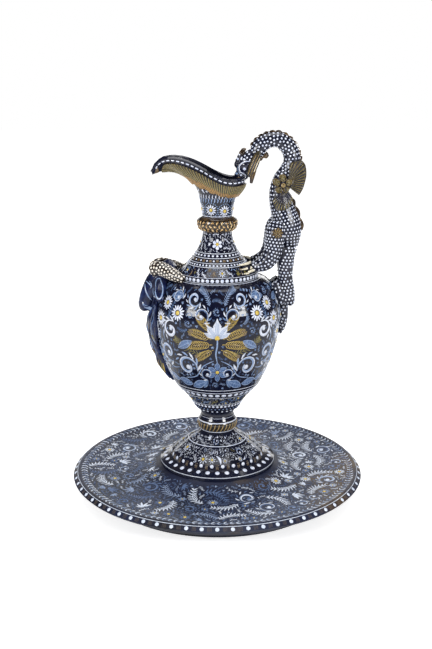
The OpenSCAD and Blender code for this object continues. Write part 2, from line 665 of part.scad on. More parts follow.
// Mask: a ram's head below the beak, with horns curling over the ewer's shoulder
mask_z_shares = [1.09, 1.03, 0.97, 0.89, 0.8, 0.73, 0.69, 0.675];
mask_rise_shares = [0.5, 0.62, 0.52, 0.5, 0.56, 0.58, 0.58, 0.56];
mask_r_shares = [0.6, 0.78, 0.72, 0.66, 0.58, 0.5, 0.38, 0.2];
mask_w_share = 1.35;
mask_sides = 16;
drape_edge_share = 0.3;
drape_top_share = 0.88;
mask_gap = 2 * lute_gap + drape_t * drape_edge_share;
mask_room_share = 1.2;
mask_path = flow([for (k = [0 : len(mask_z_shares) - 1])
    let (z = belly_z + belly_h * mask_z_shares[k])
    concat(on_pot(180, z, mask_d * mask_rise_shares[k]), [mask_d * mask_r_shares[k]])], 2);
mask_room = [for (s = mask_path) [s[0], s[1], s[2], s[3] * mask_room_share]];
module mask() {
    rings = tube_rings(mask_path, mask_sides, mask_half_w / mask_d * mask_w_share);
    color(slip_blue) skin(fit_to_pot(rings, mask_gap));
}

horn_turns = [-173.5, -170, -163, -152, -139];
horn_z_shares = [0.24, 0.36, 0.3, 0.18, 0.07];
horn_rise_shares = [3.82, 3.54, 2.43, 1, 0.4];
horn_r_shares = [0.93, 0.95, 0.9, 0.78, 0.4];
horn_sides = 12;
horn_path = flow([for (k = [0 : len(horn_turns) - 1])
    let (z = mix(shoulder_z, neck_z, horn_z_shares[k]))
    concat(on_pot(horn_turns[k], z, horn_r * horn_rise_shares[k]), [horn_r * horn_r_shares[k]])], 3);
module horn() {
    rings = tube_rings(horn_path, horn_sides);
    color(cream) skin(fit_to_pot(fit_to_tube(rings, mask_room), lute_gap));
}
module horn_near() { horn(); }
module horn_far() { mirrored_far() horn(); }

mask_ear_turns = [-165, -159, -153.5, -150];
mask_ear_z_shares = [0.985, 0.94, 0.88, 0.83];
mask_ear_r_shares = [0.5, 0.85, 0.85, 0.4];
mask_ear_flat_share = 0.4;
function under_ear(z) = z > belly_z + belly_h * drape_top_share + lute_gap ? lute_gap : mask_gap;
module mask_ear() {
    path = flow([for (k = [0 : len(mask_ear_turns) - 1])
        let (z = belly_z + belly_h * mask_ear_z_shares[k], r = horn_r * mask_ear_r_shares[k])
        concat(on_pot(mask_ear_turns[k], z, under_ear(z) + r * mask_ear_flat_share), [r])], 3);
    rings = fit_to_tube(tube_rings(path, horn_sides, mask_ear_flat_share), concat(horn_path, mask_room));
    color(slip_blue) skin([for (r = rings) [for (p = r) off_pot(p, under_ear(p[2]))]]);
}
module mask_ear_near() { mask_ear(); }
module mask_ear_far() { mirrored_far() mask_ear(); }

drape_w_shares = [0.5, 0.8, 0.95, 1, 0.98, 0.8, 0.5, 0.42, 0.36, 0.26, 0.08];
drape_t_shares = [0.3, 0.3, 0.3, 0.8, 1, 1, 1, 1, 0.95, 0.8, 0.3];
drape_rows = 20;
drape_cols = 8;
module drape() {
    top = belly_z + belly_h * drape_top_share;
    color(slip_blue)
    skin([for (j = [0 : drape_rows])
        let (
            z = mix(top, belly_z, j / drape_rows),
            w = drape_half_w * along(drape_w_shares, j / drape_rows),
            thick = drape_t * along(drape_t_shares, j / drape_rows),
            edge = drape_t * drape_edge_share,
            reach = w / pot_r(z) * 180 / PI,
            front = [for (k = [-drape_cols : 2 : drape_cols])
                let (t = k / drape_cols, h = mix(min(edge, thick), thick, 1 - t ^ 2))
                on_pot(180 + t * reach, z, lute_gap + h)],
            back = [for (k = [drape_cols : -2 : -drape_cols])
                on_pot(180 + k / drape_cols * reach, z, lute_gap)]
        )
        concat(front, back)]);
}

charger();
foot();
stem_knop();
cup();
belly();
shoulder();
neck();
collar();
throat();
spout();
leaf_band();
dragon_trunk();
dragon_head();
dragon_jaw();
ear_near();
ear_far();
head_knobs();
crest();
wing_near();
wing_far();
shell_near();
shell_far();
rosette_near();
rosette_far();
boss_near();
boss_far();
foreleg_near();
foreleg_far();
hindleg_near();
hindleg_far();
tail();
mask();
horn_near();
horn_far();
mask_ear_near();
mask_ear_far();
drape();
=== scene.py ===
import json
import math
import random
from functools import partial

import bmesh
import bpy
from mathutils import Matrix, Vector
from mathutils.bvhtree import BVHTree


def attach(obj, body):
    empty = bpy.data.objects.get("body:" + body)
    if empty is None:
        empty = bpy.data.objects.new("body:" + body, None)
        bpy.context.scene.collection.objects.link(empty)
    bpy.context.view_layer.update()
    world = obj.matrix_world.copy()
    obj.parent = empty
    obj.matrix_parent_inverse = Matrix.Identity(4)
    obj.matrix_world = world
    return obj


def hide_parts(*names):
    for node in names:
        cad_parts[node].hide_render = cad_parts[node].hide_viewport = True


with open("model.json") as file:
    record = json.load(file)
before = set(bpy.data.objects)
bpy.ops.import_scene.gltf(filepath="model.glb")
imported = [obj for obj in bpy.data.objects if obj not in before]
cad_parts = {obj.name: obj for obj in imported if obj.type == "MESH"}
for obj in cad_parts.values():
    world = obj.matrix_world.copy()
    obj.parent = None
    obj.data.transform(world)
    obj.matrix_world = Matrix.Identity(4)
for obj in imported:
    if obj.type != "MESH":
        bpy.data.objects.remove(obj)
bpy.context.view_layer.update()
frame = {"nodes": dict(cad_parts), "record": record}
MM = 0.001
TAU = 2 * math.pi
rng = random.Random(7)


def polar(reach, degrees):
    """The point at that distance and angle from the origin."""
    return reach * math.cos(math.radians(degrees)), reach * math.sin(math.radians(degrees))


# ---------------------------------------------------------------- glazes
def rgb(hex_colour):
    """A written sRGB colour as the linear values that the shader takes."""
    parts = [int(hex_colour[i:i + 2], 16) / 255 for i in (0, 2, 4)]
    return [p / 12.92 if p < 0.04045 else ((p + 0.055) / 1.055) ** 2.4 for p in parts] + [1]


def tree(owner):
    """The nodes of a material or world, a way to add one and a way to link two."""
    owner.use_nodes = True
    nodes = owner.node_tree.nodes
    return nodes, lambda kind: nodes.new("ShaderNode" + kind), owner.node_tree.links.new


def dial(node, **amounts):
    """Sets inputs of a node, whose names have _ for each space."""
    for name, amount in amounts.items():
        node.inputs[name.replace("_", " ")].default_value = amount


RAMP_FROM, RAMP_SPAN = 0.3, 0.4
COAT_ROUGH, SHEEN_ROUGH = 0.06, 0.35


def glaze(name, colours, scale=60, rough=0.16, coat=0.5, relief=0.12, grain=220, sheen=0.0, specular=0.5):
    """A glossy glaze whose colour wanders between the colours given, over a slightly uneven surface."""
    m = bpy.data.materials.new(name)
    nodes, add, link = tree(m)
    shader = nodes["Principled BSDF"]
    where, cloud, ramp, fine, bump = [add(k) for k in ("TexCoord", "TexNoise", "ValToRGB", "TexNoise", "Bump")]
    stops = ramp.color_ramp.elements
    stops[0].position, stops[1].position = RAMP_FROM, RAMP_FROM + RAMP_SPAN
    for k in range(1, len(colours) - 1):
        stops.new(RAMP_FROM + RAMP_SPAN * k / (len(colours) - 1))
    for stop, colour in zip(stops, colours):
        stop.color = rgb(colour)
    link(where.outputs["Object"], cloud.inputs["Vector"])
    link(where.outputs["Object"], fine.inputs["Vector"])
    link(cloud.outputs["Fac"], ramp.inputs["Fac"])
    link(ramp.outputs["Color"], shader.inputs["Base Color"])
    link(fine.outputs["Fac"], bump.inputs["Height"])
    link(bump.outputs["Normal"], shader.inputs["Normal"])
    dial(cloud, Scale=scale, Detail=4)
    dial(fine, Scale=grain)
    dial(bump, Strength=relief, Distance=MM)
    dial(shader, Roughness=rough, Coat_Weight=coat, Coat_Roughness=COAT_ROUGH, Sheen_Weight=sheen,
         Sheen_Roughness=SHEEN_ROUGH, Specular_IOR_Level=specular)
    return m


GLAZE = {name: glaze(name, colours.split(), **look) for name, colours, look in (
    ("charger_glaze", "050817 0a1028 121a36 1a2138 4a3a26", dict(scale=11, rough=0.4, coat=0.0, sheen=0.05)),
    ("vessel_glaze", "080b18 101428 1a1924", dict(scale=40, rough=0.14, coat=0.3, specular=0.35)),
    ("belly_glaze", "060816 0b0f24 15131f", dict(scale=30, rough=0.1, coat=0.16, specular=0.26)),
    ("rope_glaze", "17140f 241c12", dict(scale=120)),
    ("amber_glaze", "17100a 38291a 6a522e", dict(scale=160)),
    ("olive_gold_glaze", "1c180c 322a16 504024", dict(scale=120, rough=0.34, coat=0.15)),
    ("dragon_glaze", "070a18 0d1126 181b2e", dict(scale=90, rough=0.32, coat=0.12)),
    ("blue_glaze", "080d22 121b3e 22325c", dict(scale=90, rough=0.2, coat=0.1, specular=0.3)),
    ("horn_glaze", "1a1512 30261e", dict(scale=120)))}
UNDERSIDE_ROUGH, RIM_UNDER, SOFT_EDGE = 0.9, 0.0235, 0.002


def rough_underside(m):
    """A rougher glaze below the charger's rim, as on an underside that is wiped before the firing."""
    nodes, add, link = tree(m)
    shader = nodes["Principled BSDF"]
    where, split, span = add("TexCoord"), add("SeparateXYZ"), add("MapRange")
    dial(span, From_Min=RIM_UNDER - SOFT_EDGE, From_Max=RIM_UNDER, To_Min=UNDERSIDE_ROUGH,
         To_Max=shader.inputs["Roughness"].default_value)
    link(where.outputs["Object"], split.inputs["Vector"])
    link(split.outputs["Z"], span.inputs["Value"])
    link(span.outputs["Result"], shader.inputs["Roughness"])


rough_underside(GLAZE["charger_glaze"])
for row in frame["record"]["subparts"]:
    node = frame["nodes"][row["node"]]
    node.data.materials.clear()
    node.data.materials.append(GLAZE[row["material_slot"]])


# ---------------------------------------------------------------- studio
def new_object(name, data):
    obj = bpy.data.objects.new(name, data)
    bpy.context.scene.collection.objects.link(obj)
    return obj


def mesh_object(name, points, faces, material):
    mesh = bpy.data.meshes.new(name)
    mesh.from_pydata([tuple(p) for p in points], [], faces)
    mesh.materials.append(material)
    mesh.update()
    return new_object(name, mesh)


def math_node(add, operation, *numbers):
    """A Math node with numbers for its inputs after the first."""
    node = add("Math")
    node.operation = operation
    for k, number in enumerate(numbers, 1):
        node.inputs[k].default_value = number
    return node


FLOOR_HALF, FLOOR_COLOUR, FLOOR_GLOW = 6.0, "f4f4f4", 0.6
floor_material = bpy.data.materials.new("studio_floor")
nodes, add, link = tree(floor_material)
shader = nodes["Principled BSDF"]
# the camera sees the floor a little lighter than it lights the object
dial(shader, Base_Color=rgb(FLOOR_COLOUR), Roughness=0.9, Emission_Color=(1, 1, 1, 1))
glow = math_node(add, "MULTIPLY", FLOOR_GLOW)
link(add("LightPath").outputs["Is Camera Ray"], glow.inputs[0])
link(glow.outputs[0], shader.inputs["Emission Strength"])
mesh_object("studio_floor", [(x * FLOOR_HALF, y * FLOOR_HALF, 0) for x, y in
                                      ((-1, -1), (1, -1), (1, 1), (-1, 1))], [(0, 1, 2, 3)], floor_material)


def softbox(name, spot, aim, width, height, power):
    """A rectangular light at a spot, turned to a point, with sides in metres and power in watts."""
    lamp = bpy.data.lights.new(name, "AREA")
    lamp.shape = "RECTANGLE"
    lamp.size, lamp.size_y = width, height
    lamp.energy = power
    obj = new_object(name, lamp)
    obj.location = spot
    obj.rotation_euler = (Vector(aim) - Vector(spot)).to_track_quat("-Z", "Y").to_euler()
    return obj


AIM, LOW_AIM = (0, 0, 0.23), (0, 0, 0.1)
softbox("softbox_left", (-1.05, -1.05, 0.69), AIM, 0.62, 0.26, 11)
softbox("softbox_right", (1.05, -1.05, 0.69), AIM, 0.5, 0.26, 11)
softbox("softbox_top", (0, 0.1, 1.7), AIM, 1.2, 1.2, 14)
softbox("softbox_back", (0, 2.1, 0.62), LOW_AIM, 3.0, 0.3, 8).visible_camera = False

AMBIENT, GLOSSY_DROP = 0.56, -0.47
world = bpy.data.worlds.new("studio")
bpy.context.scene.world = world
nodes, add, link = tree(world)
sky, path = nodes["Background"], add("LightPath")
dial(sky, Color=(1, 1, 1, 1))
dim, top_up = math_node(add, "MULTIPLY_ADD", GLOSSY_DROP, AMBIENT), math_node(add, "MAXIMUM")
link(path.outputs["Is Glossy Ray"], dim.inputs[0])
link(dim.outputs[0], top_up.inputs[0])
link(path.outputs["Is Camera Ray"], top_up.inputs[1])
link(top_up.outputs[0], sky.inputs["Strength"])

LENS, SENSOR, SHIFT_X, EYE, TILT = 55.16, 36, -1.3 / 649, (0, -1.0725, 0.480645), 14.907
camera = bpy.data.cameras.new("camera")
camera.lens, camera.sensor_width, camera.shift_x = LENS, SENSOR, SHIFT_X
eye = new_object("camera", camera)
eye.location, eye.rotation_euler = EYE, (math.radians(90 - TILT), 0, 0)
bpy.context.scene.camera = eye
bpy.context.scene.view_settings.view_transform = "Standard"


# ---------------------------------------------------------------- surfaces and charts
FAR = 0.4


class Skin:
    """The outer surface of some objects, onto which slip is laid."""

    def __init__(self, *objects):
        points, faces = [], []
        for obj in objects:
            start = len(points)
            points += [v.co.copy() for v in obj.data.vertices]
            faces += [[start + i for i in p.vertices] for p in obj.data.polygons]
        self.tree = BVHTree.FromPolygons(points, faces)

    def hit(self, start, way):
        """Where a ray meets the surface, and the normal towards the ray's start, or None."""
        place, normal, _, _ = self.tree.ray_cast(start, way)
        return None if place is None else (place, -normal if normal.dot(way) > 0 else normal)

    def drop(self, x, y):
        """The surface under a point in metres, seen from above."""
        return self.hit(Vector((x, y, FAR)), Vector((0, 0, -1)))


def node_skin(*names):
    """The skin of those nodes of the CAD model."""
    return Skin(*[frame["nodes"][n] for n in names])


def belt(skin, radius, front=-90):
    """A chart of an upright surface: u mm round from the front at that radius, v mm above the table."""
    def at(u, v):
        w = math.radians(front) + u / radius
        way = Vector((-math.cos(w), -math.sin(w), 0))
        return skin.hit(Vector((0, 0, v * MM)) - way * FAR, way)
    at.radius = radius
    return at


def disc(skin, radius, front=-90):
    """A chart of a surface seen from above: u mm round from the front at that radius, v mm from the axis."""
    def at(u, v):
        w = math.radians(front) + u / radius
        return skin.drop(v * MM * math.cos(w), v * MM * math.sin(w))
    at.radius = radius
    return at


def flank(skin, near=True):
    """A chart of a side: u mm along X and v mm above the table, seen along Y."""
    side = -1 if near else 1
    return lambda u, v: skin.hit(Vector((u * MM, side * FAR, v * MM)), Vector((0, -side, 0)))


def placed(chart, u, v, turn=0, size=1, flip=1):
    """A chart in a motif's own units, moved, turned, sized and mirrored on the chart below it."""
    c, s = polar(size, turn)
    return lambda x, y: chart(u + flip * x * c - y * s, v + flip * x * s + y * c)


def sized(chart, size):
    """A chart on which a motif comes out larger by that factor."""
    return placed(chart, 0, 0, 0, size)


def curve(points, t):
    """A smooth curve through points of any number of coordinates, at share t."""
    last = len(points) - 1
    i = min(int(t * last), last - 1)
    f = t * last - i
    a, b, c, d = (points[max(i - 1, 0)], points[i], points[i + 1], points[min(i + 2, last)])
    return [(2 * q + (r - p) * f + (2 * p - 5 * q + 4 * r - s) * f * f + (3 * q - p - 3 * r + s) * f ** 3) / 2
            for p, q, r, s in zip(a, b, c, d)]


def value(list_, t):
    """The value at share t of a list of plain numbers, straight between them."""
    k = t * (len(list_) - 1)
    i = min(int(k), len(list_) - 2)
    return list_[i] + (list_[i + 1] - list_[i]) * (k - i)


# ---------------------------------------------------------------- slip
SLIP_SCALE, SLIP_RELIEF, SLIP_GRAIN = 400, 0.05, 900
EDGE_LIFT, LINE_SIDES, ROW_LIFT, ROW_SIDES = 0.04, 96, 0.55, 14
SLIP_COAT, DISH_LOOK = 0.25, (0.42, 0.0, 0.1)


def section(lift):
    """Across a stroke: the share of its half width, and the height in mm, of its four points."""
    return (-1, EDGE_LIFT), (-0.55, 0.75 * lift), (0.55, 0.75 * lift), (1, EDGE_LIFT)


def raised(chart, points):
    """Places over the points (x, y, height in mm) of a chart, or None if one of them is off its surface."""
    places = []
    for x, y, height in points:
        spot = chart(x, y)
        if spot is None:
            return None
        places.append(spot[0] + spot[1] * height * MM)
    return places


class Slip:
    """All the dots, strokes and leaves of one colour of slip on one body: they make one mesh."""
    made = []

    def __init__(self, name, body, slot, colours, rough=0.22):
        self.name, self.body, self.slot = name, body, slot
        rough, coat, sheen = DISH_LOOK if body == "charger" else (rough, SLIP_COAT, 0.0)
        self.material = glaze(name, colours.split(), SLIP_SCALE, rough, coat, SLIP_RELIEF, SLIP_GRAIN, sheen)
        self.points, self.faces = [], []
        Slip.made.append(self)

    def mound(self, rings, centre):
        """A low mound: rings of places from the edge inward, then a centre."""
        start, n = len(self.points), len(rings[0])
        for ring in rings:
            self.points += ring
        self.points.append(centre)
        for j in range(len(rings) - 1):
            for k in range(n):
                a, b = start + j * n + k, start + j * n + (k + 1) % n
                self.faces.append((a, b, b + n, a + n))
        top, base = len(self.points) - 1, start + (len(rings) - 1) * n
        self.faces += [(base + k, base + (k + 1) % n, top) for k in range(n)]

    def strip(self, rows, closed=False):
        """Rows of places, joined side by side; returns the index of the first."""
        start, m, n = len(self.points), len(rows[0]), len(rows)
        for row in rows:
            self.points += row
        for j in range(n if closed else n - 1):
            for k in range(m - 1):
                a, b = start + j * m + k, start + (j + 1) % n * m + k
                self.faces.append((a, a + 1, b + 1, b))
        return start

    def leaf(self, chart, outline, lift=0.35, base=0.0):
        """A filled mound with that outline of (x, y) points."""
        cx, cy = [sum(c) / len(outline) for c in zip(*outline)]
        rings = []
        for share, height in ((1, EDGE_LIFT), (0.9, 0.6 * lift), (0.5, lift)):
            spots = [chart(cx + (x - cx) * share, cy + (y - cy) * share) for x, y in outline]
            if None in spots:
                return
            rings.append([p + n * (base + height) * MM for p, n in spots])
        centre = chart(cx, cy)
        if centre:
            self.mound(rings, centre[0] + centre[1] * (base + lift) * MM)

    def dot(self, chart, u, v, r, lift=0.45, sides=12, base=0.0, tall=1):
        """A round dot, or an oval one whose height is tall times its width."""
        ring = [(u + r * math.cos(TAU * k / sides), v + r * tall * math.sin(TAU * k / sides)) for k in range(sides)]
        self.leaf(chart, ring, lift, base)

    def stroke(self, chart, line, widths, lift=0.3, steps=4, base=0.0):
        """A raised stroke along a smooth line of (x, y) points, with widths spread along it."""
        n = steps * (len(line) - 1)
        path = [curve(line, k / n) for k in range(n + 1)]
        rows = []
        for k, (x, y) in enumerate(path):
            x0, y0 = path[max(k - 1, 0)]
            x1, y1 = path[min(k + 1, n)]
            length = math.hypot(x1 - x0, y1 - y0) or 1
            nx, ny = (y0 - y1) / length, (x1 - x0) / length
            w = value(widths, k / n) / 2
            places = raised(chart, [(x + nx * w * side, y + ny * w * side, base + height)
                                    for side, height in section(lift)])
            if places:
                rows.append(places)
            elif len(rows) > 1:
                break
            else:
                rows = []
        if len(rows) > 1:
            ends = self.strip(rows), len(self.points) - len(rows[0])
            self.faces += [tuple(end + k for k in range(4)) for end in ends]

    def ribbon(self, spots, widths, lift=0.3):
        """A raised stroke through places in space, each with the surface's normal."""
        n = len(spots) - 1
        rows = []
        for k, (place, normal) in enumerate(spots):
            along = (spots[min(k + 1, n)][0] - spots[max(k - 1, 0)][0]).normalized()
            side = normal.cross(along).normalized() * value(widths, k / n) / 2
            rows.append([place + (side * share + normal * height) * MM for share, height in section(lift)])
        self.strip(rows)

    def bead(self, place, normal, r, lift=0.5, sides=8):
        """A small dome on a surface."""
        a = normal.orthogonal().normalized()
        b = normal.cross(a)
        rings = [[place + ((a * math.cos(TAU * k / sides) + b * math.sin(TAU * k / sides)) * r * share
                           + normal * height) * MM for k in range(sides)]
                 for share, height in ((1, -0.1), (0.72, 0.75 * lift))]
        self.mound(rings, place + normal * lift * MM)

    def row(self, chart, v, count, r, shift=0.0):
        """A ring of round dots all round, evenly spaced."""
        for k in range(count):
            spot = chart(TAU * chart.radius * (k + shift) / count, v)
            if spot:
                self.bead(*spot, r, ROW_LIFT, ROW_SIDES)

    def line(self, chart, v, width, lift=0.25):
        """A line all round."""
        across = (-0.5, EDGE_LIFT), (-0.25, lift), (0.25, lift), (0.5, EDGE_LIFT)
        rows = [raised(chart, [(TAU * chart.radius * k / LINE_SIDES, v + side * width, height)
                               for side, height in across]) for k in range(LINE_SIDES)]
        if None not in rows:
            self.strip(rows, closed=True)

    def make(self):
        """Adds the slip's mesh to the scene, on its body."""
        if self.points:
            obj = mesh_object(self.name, self.points, self.faces, self.material)
            for p in obj.data.polygons:
                p.use_smooth = True
            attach(obj, self.body)


def slips(body, slot, table):
    """The slips of a body, from (name, colours) pairs."""
    return [Slip(f"{body}_{name}_slip", body, slot, colours) for name, colours in table]


DEEP, YELLOW = "22314e 2c3f60 3a5074", "cfba58 bfa03c dccf88"
white, pale, blue, gold, olive, brown, deep, trim, yellow, dark = slips("ewer", "vessel_glaze", (
    ("white", "e6e9f2 d0d6e6 b2bdd8"), ("pale", "8297bb 6f87ad 9fb0cc"), ("blue", "364c70 486088 607ca2"),
    ("gold", "9a8038 bca252 745e2c"), ("olive", "656032 7a713c 4e4a28"), ("brown", "54442e 6c5a40 3c3224"),
    ("deep", DEEP), ("trim", "b4bac8 c8cdd8 98a2b6"), ("yellow", YELLOW), ("dark", "0c0e22 14172f 1b1c38")))
dish_white, dish_pale, dish_blue, dish_deep, dish_gold, dish_brown, dish_yellow = slips("charger", "charger_glaze", (
    ("white", "d4dae6 b9c4d6 e8ecf3"), ("pale", "8697b4 6e80a0 a4b1c6"), ("blue", "42567a 52678c 344666"),
    ("deep", DEEP), ("gold", "6a5834 80693c 54452c"), ("brown", "544a42 6a5e52 3e3833"), ("yellow", YELLOW)))


# ---------------------------------------------------------------- motifs, each about one unit in radius
def ray(slip, chart, turn, near, far, widths, bow=0.0, lift=0.3):
    """A stroke outward from the middle, bowed sideways by a share of its length."""
    c, s = polar(1, turn)
    middle, side = (near + far) / 2, bow * (far - near)
    line = [(near * c, near * s), (middle * c - side * s, middle * s + side * c), (far * c, far * s)]
    slip.stroke(chart, line, widths, lift, 3)


def daisy(chart, petals=12, slip=white, heart=yellow):
    for k in range(petals):
        ray(slip, chart, 360 * k / petals, 0.36, 0.94 + 0.08 * (k % 2), [0.1, 0.22, 0.2, 0.05])
    heart.dot(chart, 0, 0, 0.28, 0.7)


def bloom(chart, fill, edge, heart):
    """A flower of six pointed petals, each filled, edged and veined."""
    side = [(0.2, 0.04), (0.45, 0.2), (0.72, 0.21), (1, 0)]
    for turn in range(0, 360, 60):
        own = placed(chart, 0, 0, turn)
        fill.leaf(own, side + [(x, -y) for x, y in side[-2::-1]], 0.3)
        for flip in (1, -1):
            edge.stroke(own, [(x, y * flip) for x, y in side], [0.03, 0.05, 0.05, 0.03], 0.42, 3)
        edge.stroke(own, [(0.3, 0), (0.6, 0.01), (0.84, 0)], [0.05, 0.03, 0.01], 0.42, 2)
    heart.dot(chart, 0, 0, 0.17, 0.8)


def fern(slip, chart, line, leaves, length, width=0.07, lean=48):
    """A stem with pairs of small leaves that grow shorter towards its tip."""
    slip.stroke(chart, line, [width, width * 0.6], 0.25)
    for k in range(leaves):
        t = (k + 0.6) / leaves
        x, y = curve(line, min(t, 1))
        x1, y1 = curve(line, min(t + 0.02, 1))
        x0, y0 = curve(line, max(t - 0.02, 0))
        way = math.degrees(math.atan2(y1 - y0, x1 - x0))
        reach = length * (0.45 + 0.55 * math.sin(math.pi * min(t * 0.8 + 0.15, 1)))
        for side in (1, -1):
            own = placed(chart, x, y, way + side * lean)
            slip.stroke(own, [(0, 0), (reach * 0.5, side * -0.06 * reach), (reach, 0)],
                        [width * 0.6, width * 1.5, width * 0.3], 0.25, 2)


def fern_arc(slip, own, pairs=13):
    """A long bowed fern, one unit from its middle to each end."""
    fern(slip, own, [(-1.05, -0.16), (-0.4, 0.24), (0.35, 0.26), (1.05, -0.12)], pairs, 0.5, 0.07, 54)


def branch(slip, own):
    fern(slip, placed(own, -1.1, 0), [(0, 0), (0.7, 0.3), (1.5, 0), (2.2, 0.2)], 6, 0.55, 0.1, 42)


def spray(slip, own):
    """A spray of comma leaves along a curved stem."""
    line = [(-1, -0.5), (-0.3, 0.1), (0.4, 0.1), (0.9, 0.6)]
    slip.stroke(own, line, [0.05, 0.05, 0.03], 0.2)
    for k in range(6):
        x, y = curve(line, (k + 0.4) / 6)
        for side in (1, -1):
            leaf = placed(own, x, y, 25 + side * 52, 0.5 - 0.03 * k)
            slip.stroke(leaf, [(0.06, 0), (0.5, side * 0.1), (1, side * -0.04)], [0.08, 0.34, 0.06], 0.25, 2)


def comma(slip, own):
    """A single bowed leaf."""
    slip.stroke(own, [(-0.9, 0), (0, 0.35), (0.9, 0)], [0.14, 0.5, 0.12], 0.22, 2)


def trefoil(slip, own):
    for turn in (-50, 0, 50):
        ray(slip, own, turn, -0.6, 0.9, [0.1, 0.42, 0.1], 0.05, 0.22)


def cluster(slip, own):
    """Five comma leaves from one root."""
    for turn in (-64, -32, 0, 32, 64):
        ray(slip, placed(own, -0.5, 0), turn, 0.08, 1.3 - abs(turn) / 200, [0.08, 0.3, 0.24, 0.04], 0.12)


SCROLL_STEPS, SCROLL_LEAF_R = 12, 1.02


def scroll(fill, edge, chart, turns=1.15, leaves=3):
    """A leafy scroll of radius 1 about the origin: a filled crescent, its lit edge, a round eye and leaves."""
    line, lit = [], []
    for k in range(SCROLL_STEPS + 1):
        t = k / SCROLL_STEPS
        w = -TAU * turns * t
        r = 1 - 0.66 * t ** 0.9
        line.append((r * math.cos(w), r * math.sin(w)))
        lit.append((r * 1.09 * math.cos(w), r * 1.09 * math.sin(w)))
    widths = [0.05, 0.16, 0.26, 0.3, 0.28, 0.2, 0.12]
    fill.stroke(chart, line, widths, 0.3, 2)
    edge.stroke(chart, lit, [w * 0.3 for w in widths], 0.3, 2, 0.28)
    edge.dot(chart, 0.12, 0.02, 0.22, 0.7)
    for k in range(2 * leaves):
        w = -360 * turns * (0.02 + 0.075 * k)
        own = placed(chart, *polar(SCROLL_LEAF_R, w), w - 50, 0.62 - 0.035 * k)
        (edge, fill)[k % 2].stroke(own, [(-0.1, 0.05), (0.5, -0.1), (1, -0.34)], [0.14, 0.36, 0.05], 0.3, 2)


class Field:
    """A chart that notes the cells that something is drawn on, so that the gaps can be filled."""

    def __init__(self, chart, cell, half):
        self.chart, self.cell, self.half, self.taken = chart, cell, half, set()

    def key(self, u, v):
        return round(u / self.cell), round(v / self.cell)

    def __call__(self, u, v):
        self.taken.add(self.key(u, v))
        return self.chart(u, v)

    def fill(self, low, high, r, tries, draw):
        """Motifs of radius r in free places between those two v, each drawn by draw(own chart)."""
        around = range(-math.ceil(r / self.cell), math.ceil(r / self.cell) + 1)
        for _ in range(tries):
            u, v = rng.uniform(-self.half, self.half), rng.uniform(low, high)
            i, j = self.key(u, v)
            if any((i + a, j + b) in self.taken for a in around for b in around):
                continue
            draw(placed(self, u, v, rng.uniform(0, 360), r))
            self.taken.update((i + a, j + b) for a in (-1, 0, 1) for b in (-1, 0, 1))


def any_of(kinds, grow):
    """Draws one of those motifs, picked at random, larger by that factor."""
    return lambda spot: rng.choice(kinds)(sized(spot, grow))


def dress(chart, low, high, sizes, kinds, cell, tries=14):
    """A band all round, filled with motifs of falling sizes, and with the last kinds in the gaps that stay."""
    field = Field(chart, cell, math.pi * chart.radius)
    area = 2 * field.half * (high - low)
    for size in sizes:
        inset, count = 0.6 * size, int(tries * area / (4 * size * size))
        field.fill(low + inset, high - inset, size, count, any_of(kinds, 1.15))
    field.fill(low + 0.5, high - 0.5, 1.3, int(tries * area / 10), any_of(kinds[-3:], 1.4))
    field.fill(low + 0.4, high - 0.4, 0.8 * cell, int(tries * area / 10), lambda spot: kinds[-1](sized(spot, 1.5)))


def encircle(chart_of, *rings):
    """Lines (slip, chart's radius, v, width) and rows of dots (slip, chart's radius, v, count, r, shift) all round."""
    for slip, radius, v, *rest in rings:
        (slip.line if len(rest) == 1 else slip.row)(chart_of(radius), v, *rest)


# ---------------------------------------------------------------- charger
RIM_BELT_R, RIM_DOTS = 165, 65
dish_skin = node_skin("charger")
rim_belt = belt(dish_skin, RIM_BELT_R)
dish_white.line(disc(dish_skin, 120), 160.3, 0.45)
dish_white.row(rim_belt, 25.7, RIM_DOTS, 2.25)
for k in range(RIM_DOTS):
    for shift in (-1.8, -0.6, 0.6, 1.8):
        x = TAU * RIM_BELT_R * (k + 0.5) / RIM_DOTS + shift
        dish_brown.stroke(rim_belt, [(x, 24.2), (x, 25.8), (x, 27.2)], [0.3, 0.3], 0.15, 2)

SEAT_R, RIM_R, BORDER_R, BORDER_DEPTH = 70, 157.5, 152.5, 3.5
flat = Field(lambda x, y: dish_skin.drop(x * MM, y * MM), 0.9, BORDER_R)
last_cell = int(RIM_R / flat.cell) + 2
for i in range(-last_cell, last_cell + 1):
    for j in range(-last_cell, last_cell + 1):
        if not SEAT_R < math.hypot(i, j) * flat.cell < BORDER_R - BORDER_DEPTH:
            flat.taken.add((i, j))
GOLD_PATCH, GOLD_SHARE, FRONT_Y, FRONT_PAINTED_SHADE = 1.45, 0.75, -45, 0.3


def shade(spot, bright=0.5):
    """A slip for a motif on the charger: golden patches drift over it, and its front is darker and bluer as painted
    shade.
    """
    place = spot(0, 0)
    if place is None:
        return dish_pale
    x, y = place[0].x * 1000, place[0].y * 1000
    patch = math.sin(0.031 * x + 0.6) + math.sin(0.027 * y - 0.011 * x + 2)
    if patch > GOLD_PATCH and rng.random() < GOLD_SHARE:
        return dish_gold
    # painted shade: the front gets fewer white motifs and more blue ones
    if rng.random() < bright - (FRONT_PAINTED_SHADE if y < FRONT_Y else 0):
        return dish_white
    return rng.choice((dish_pale, dish_blue, dish_blue if y < FRONT_Y else dish_pale))


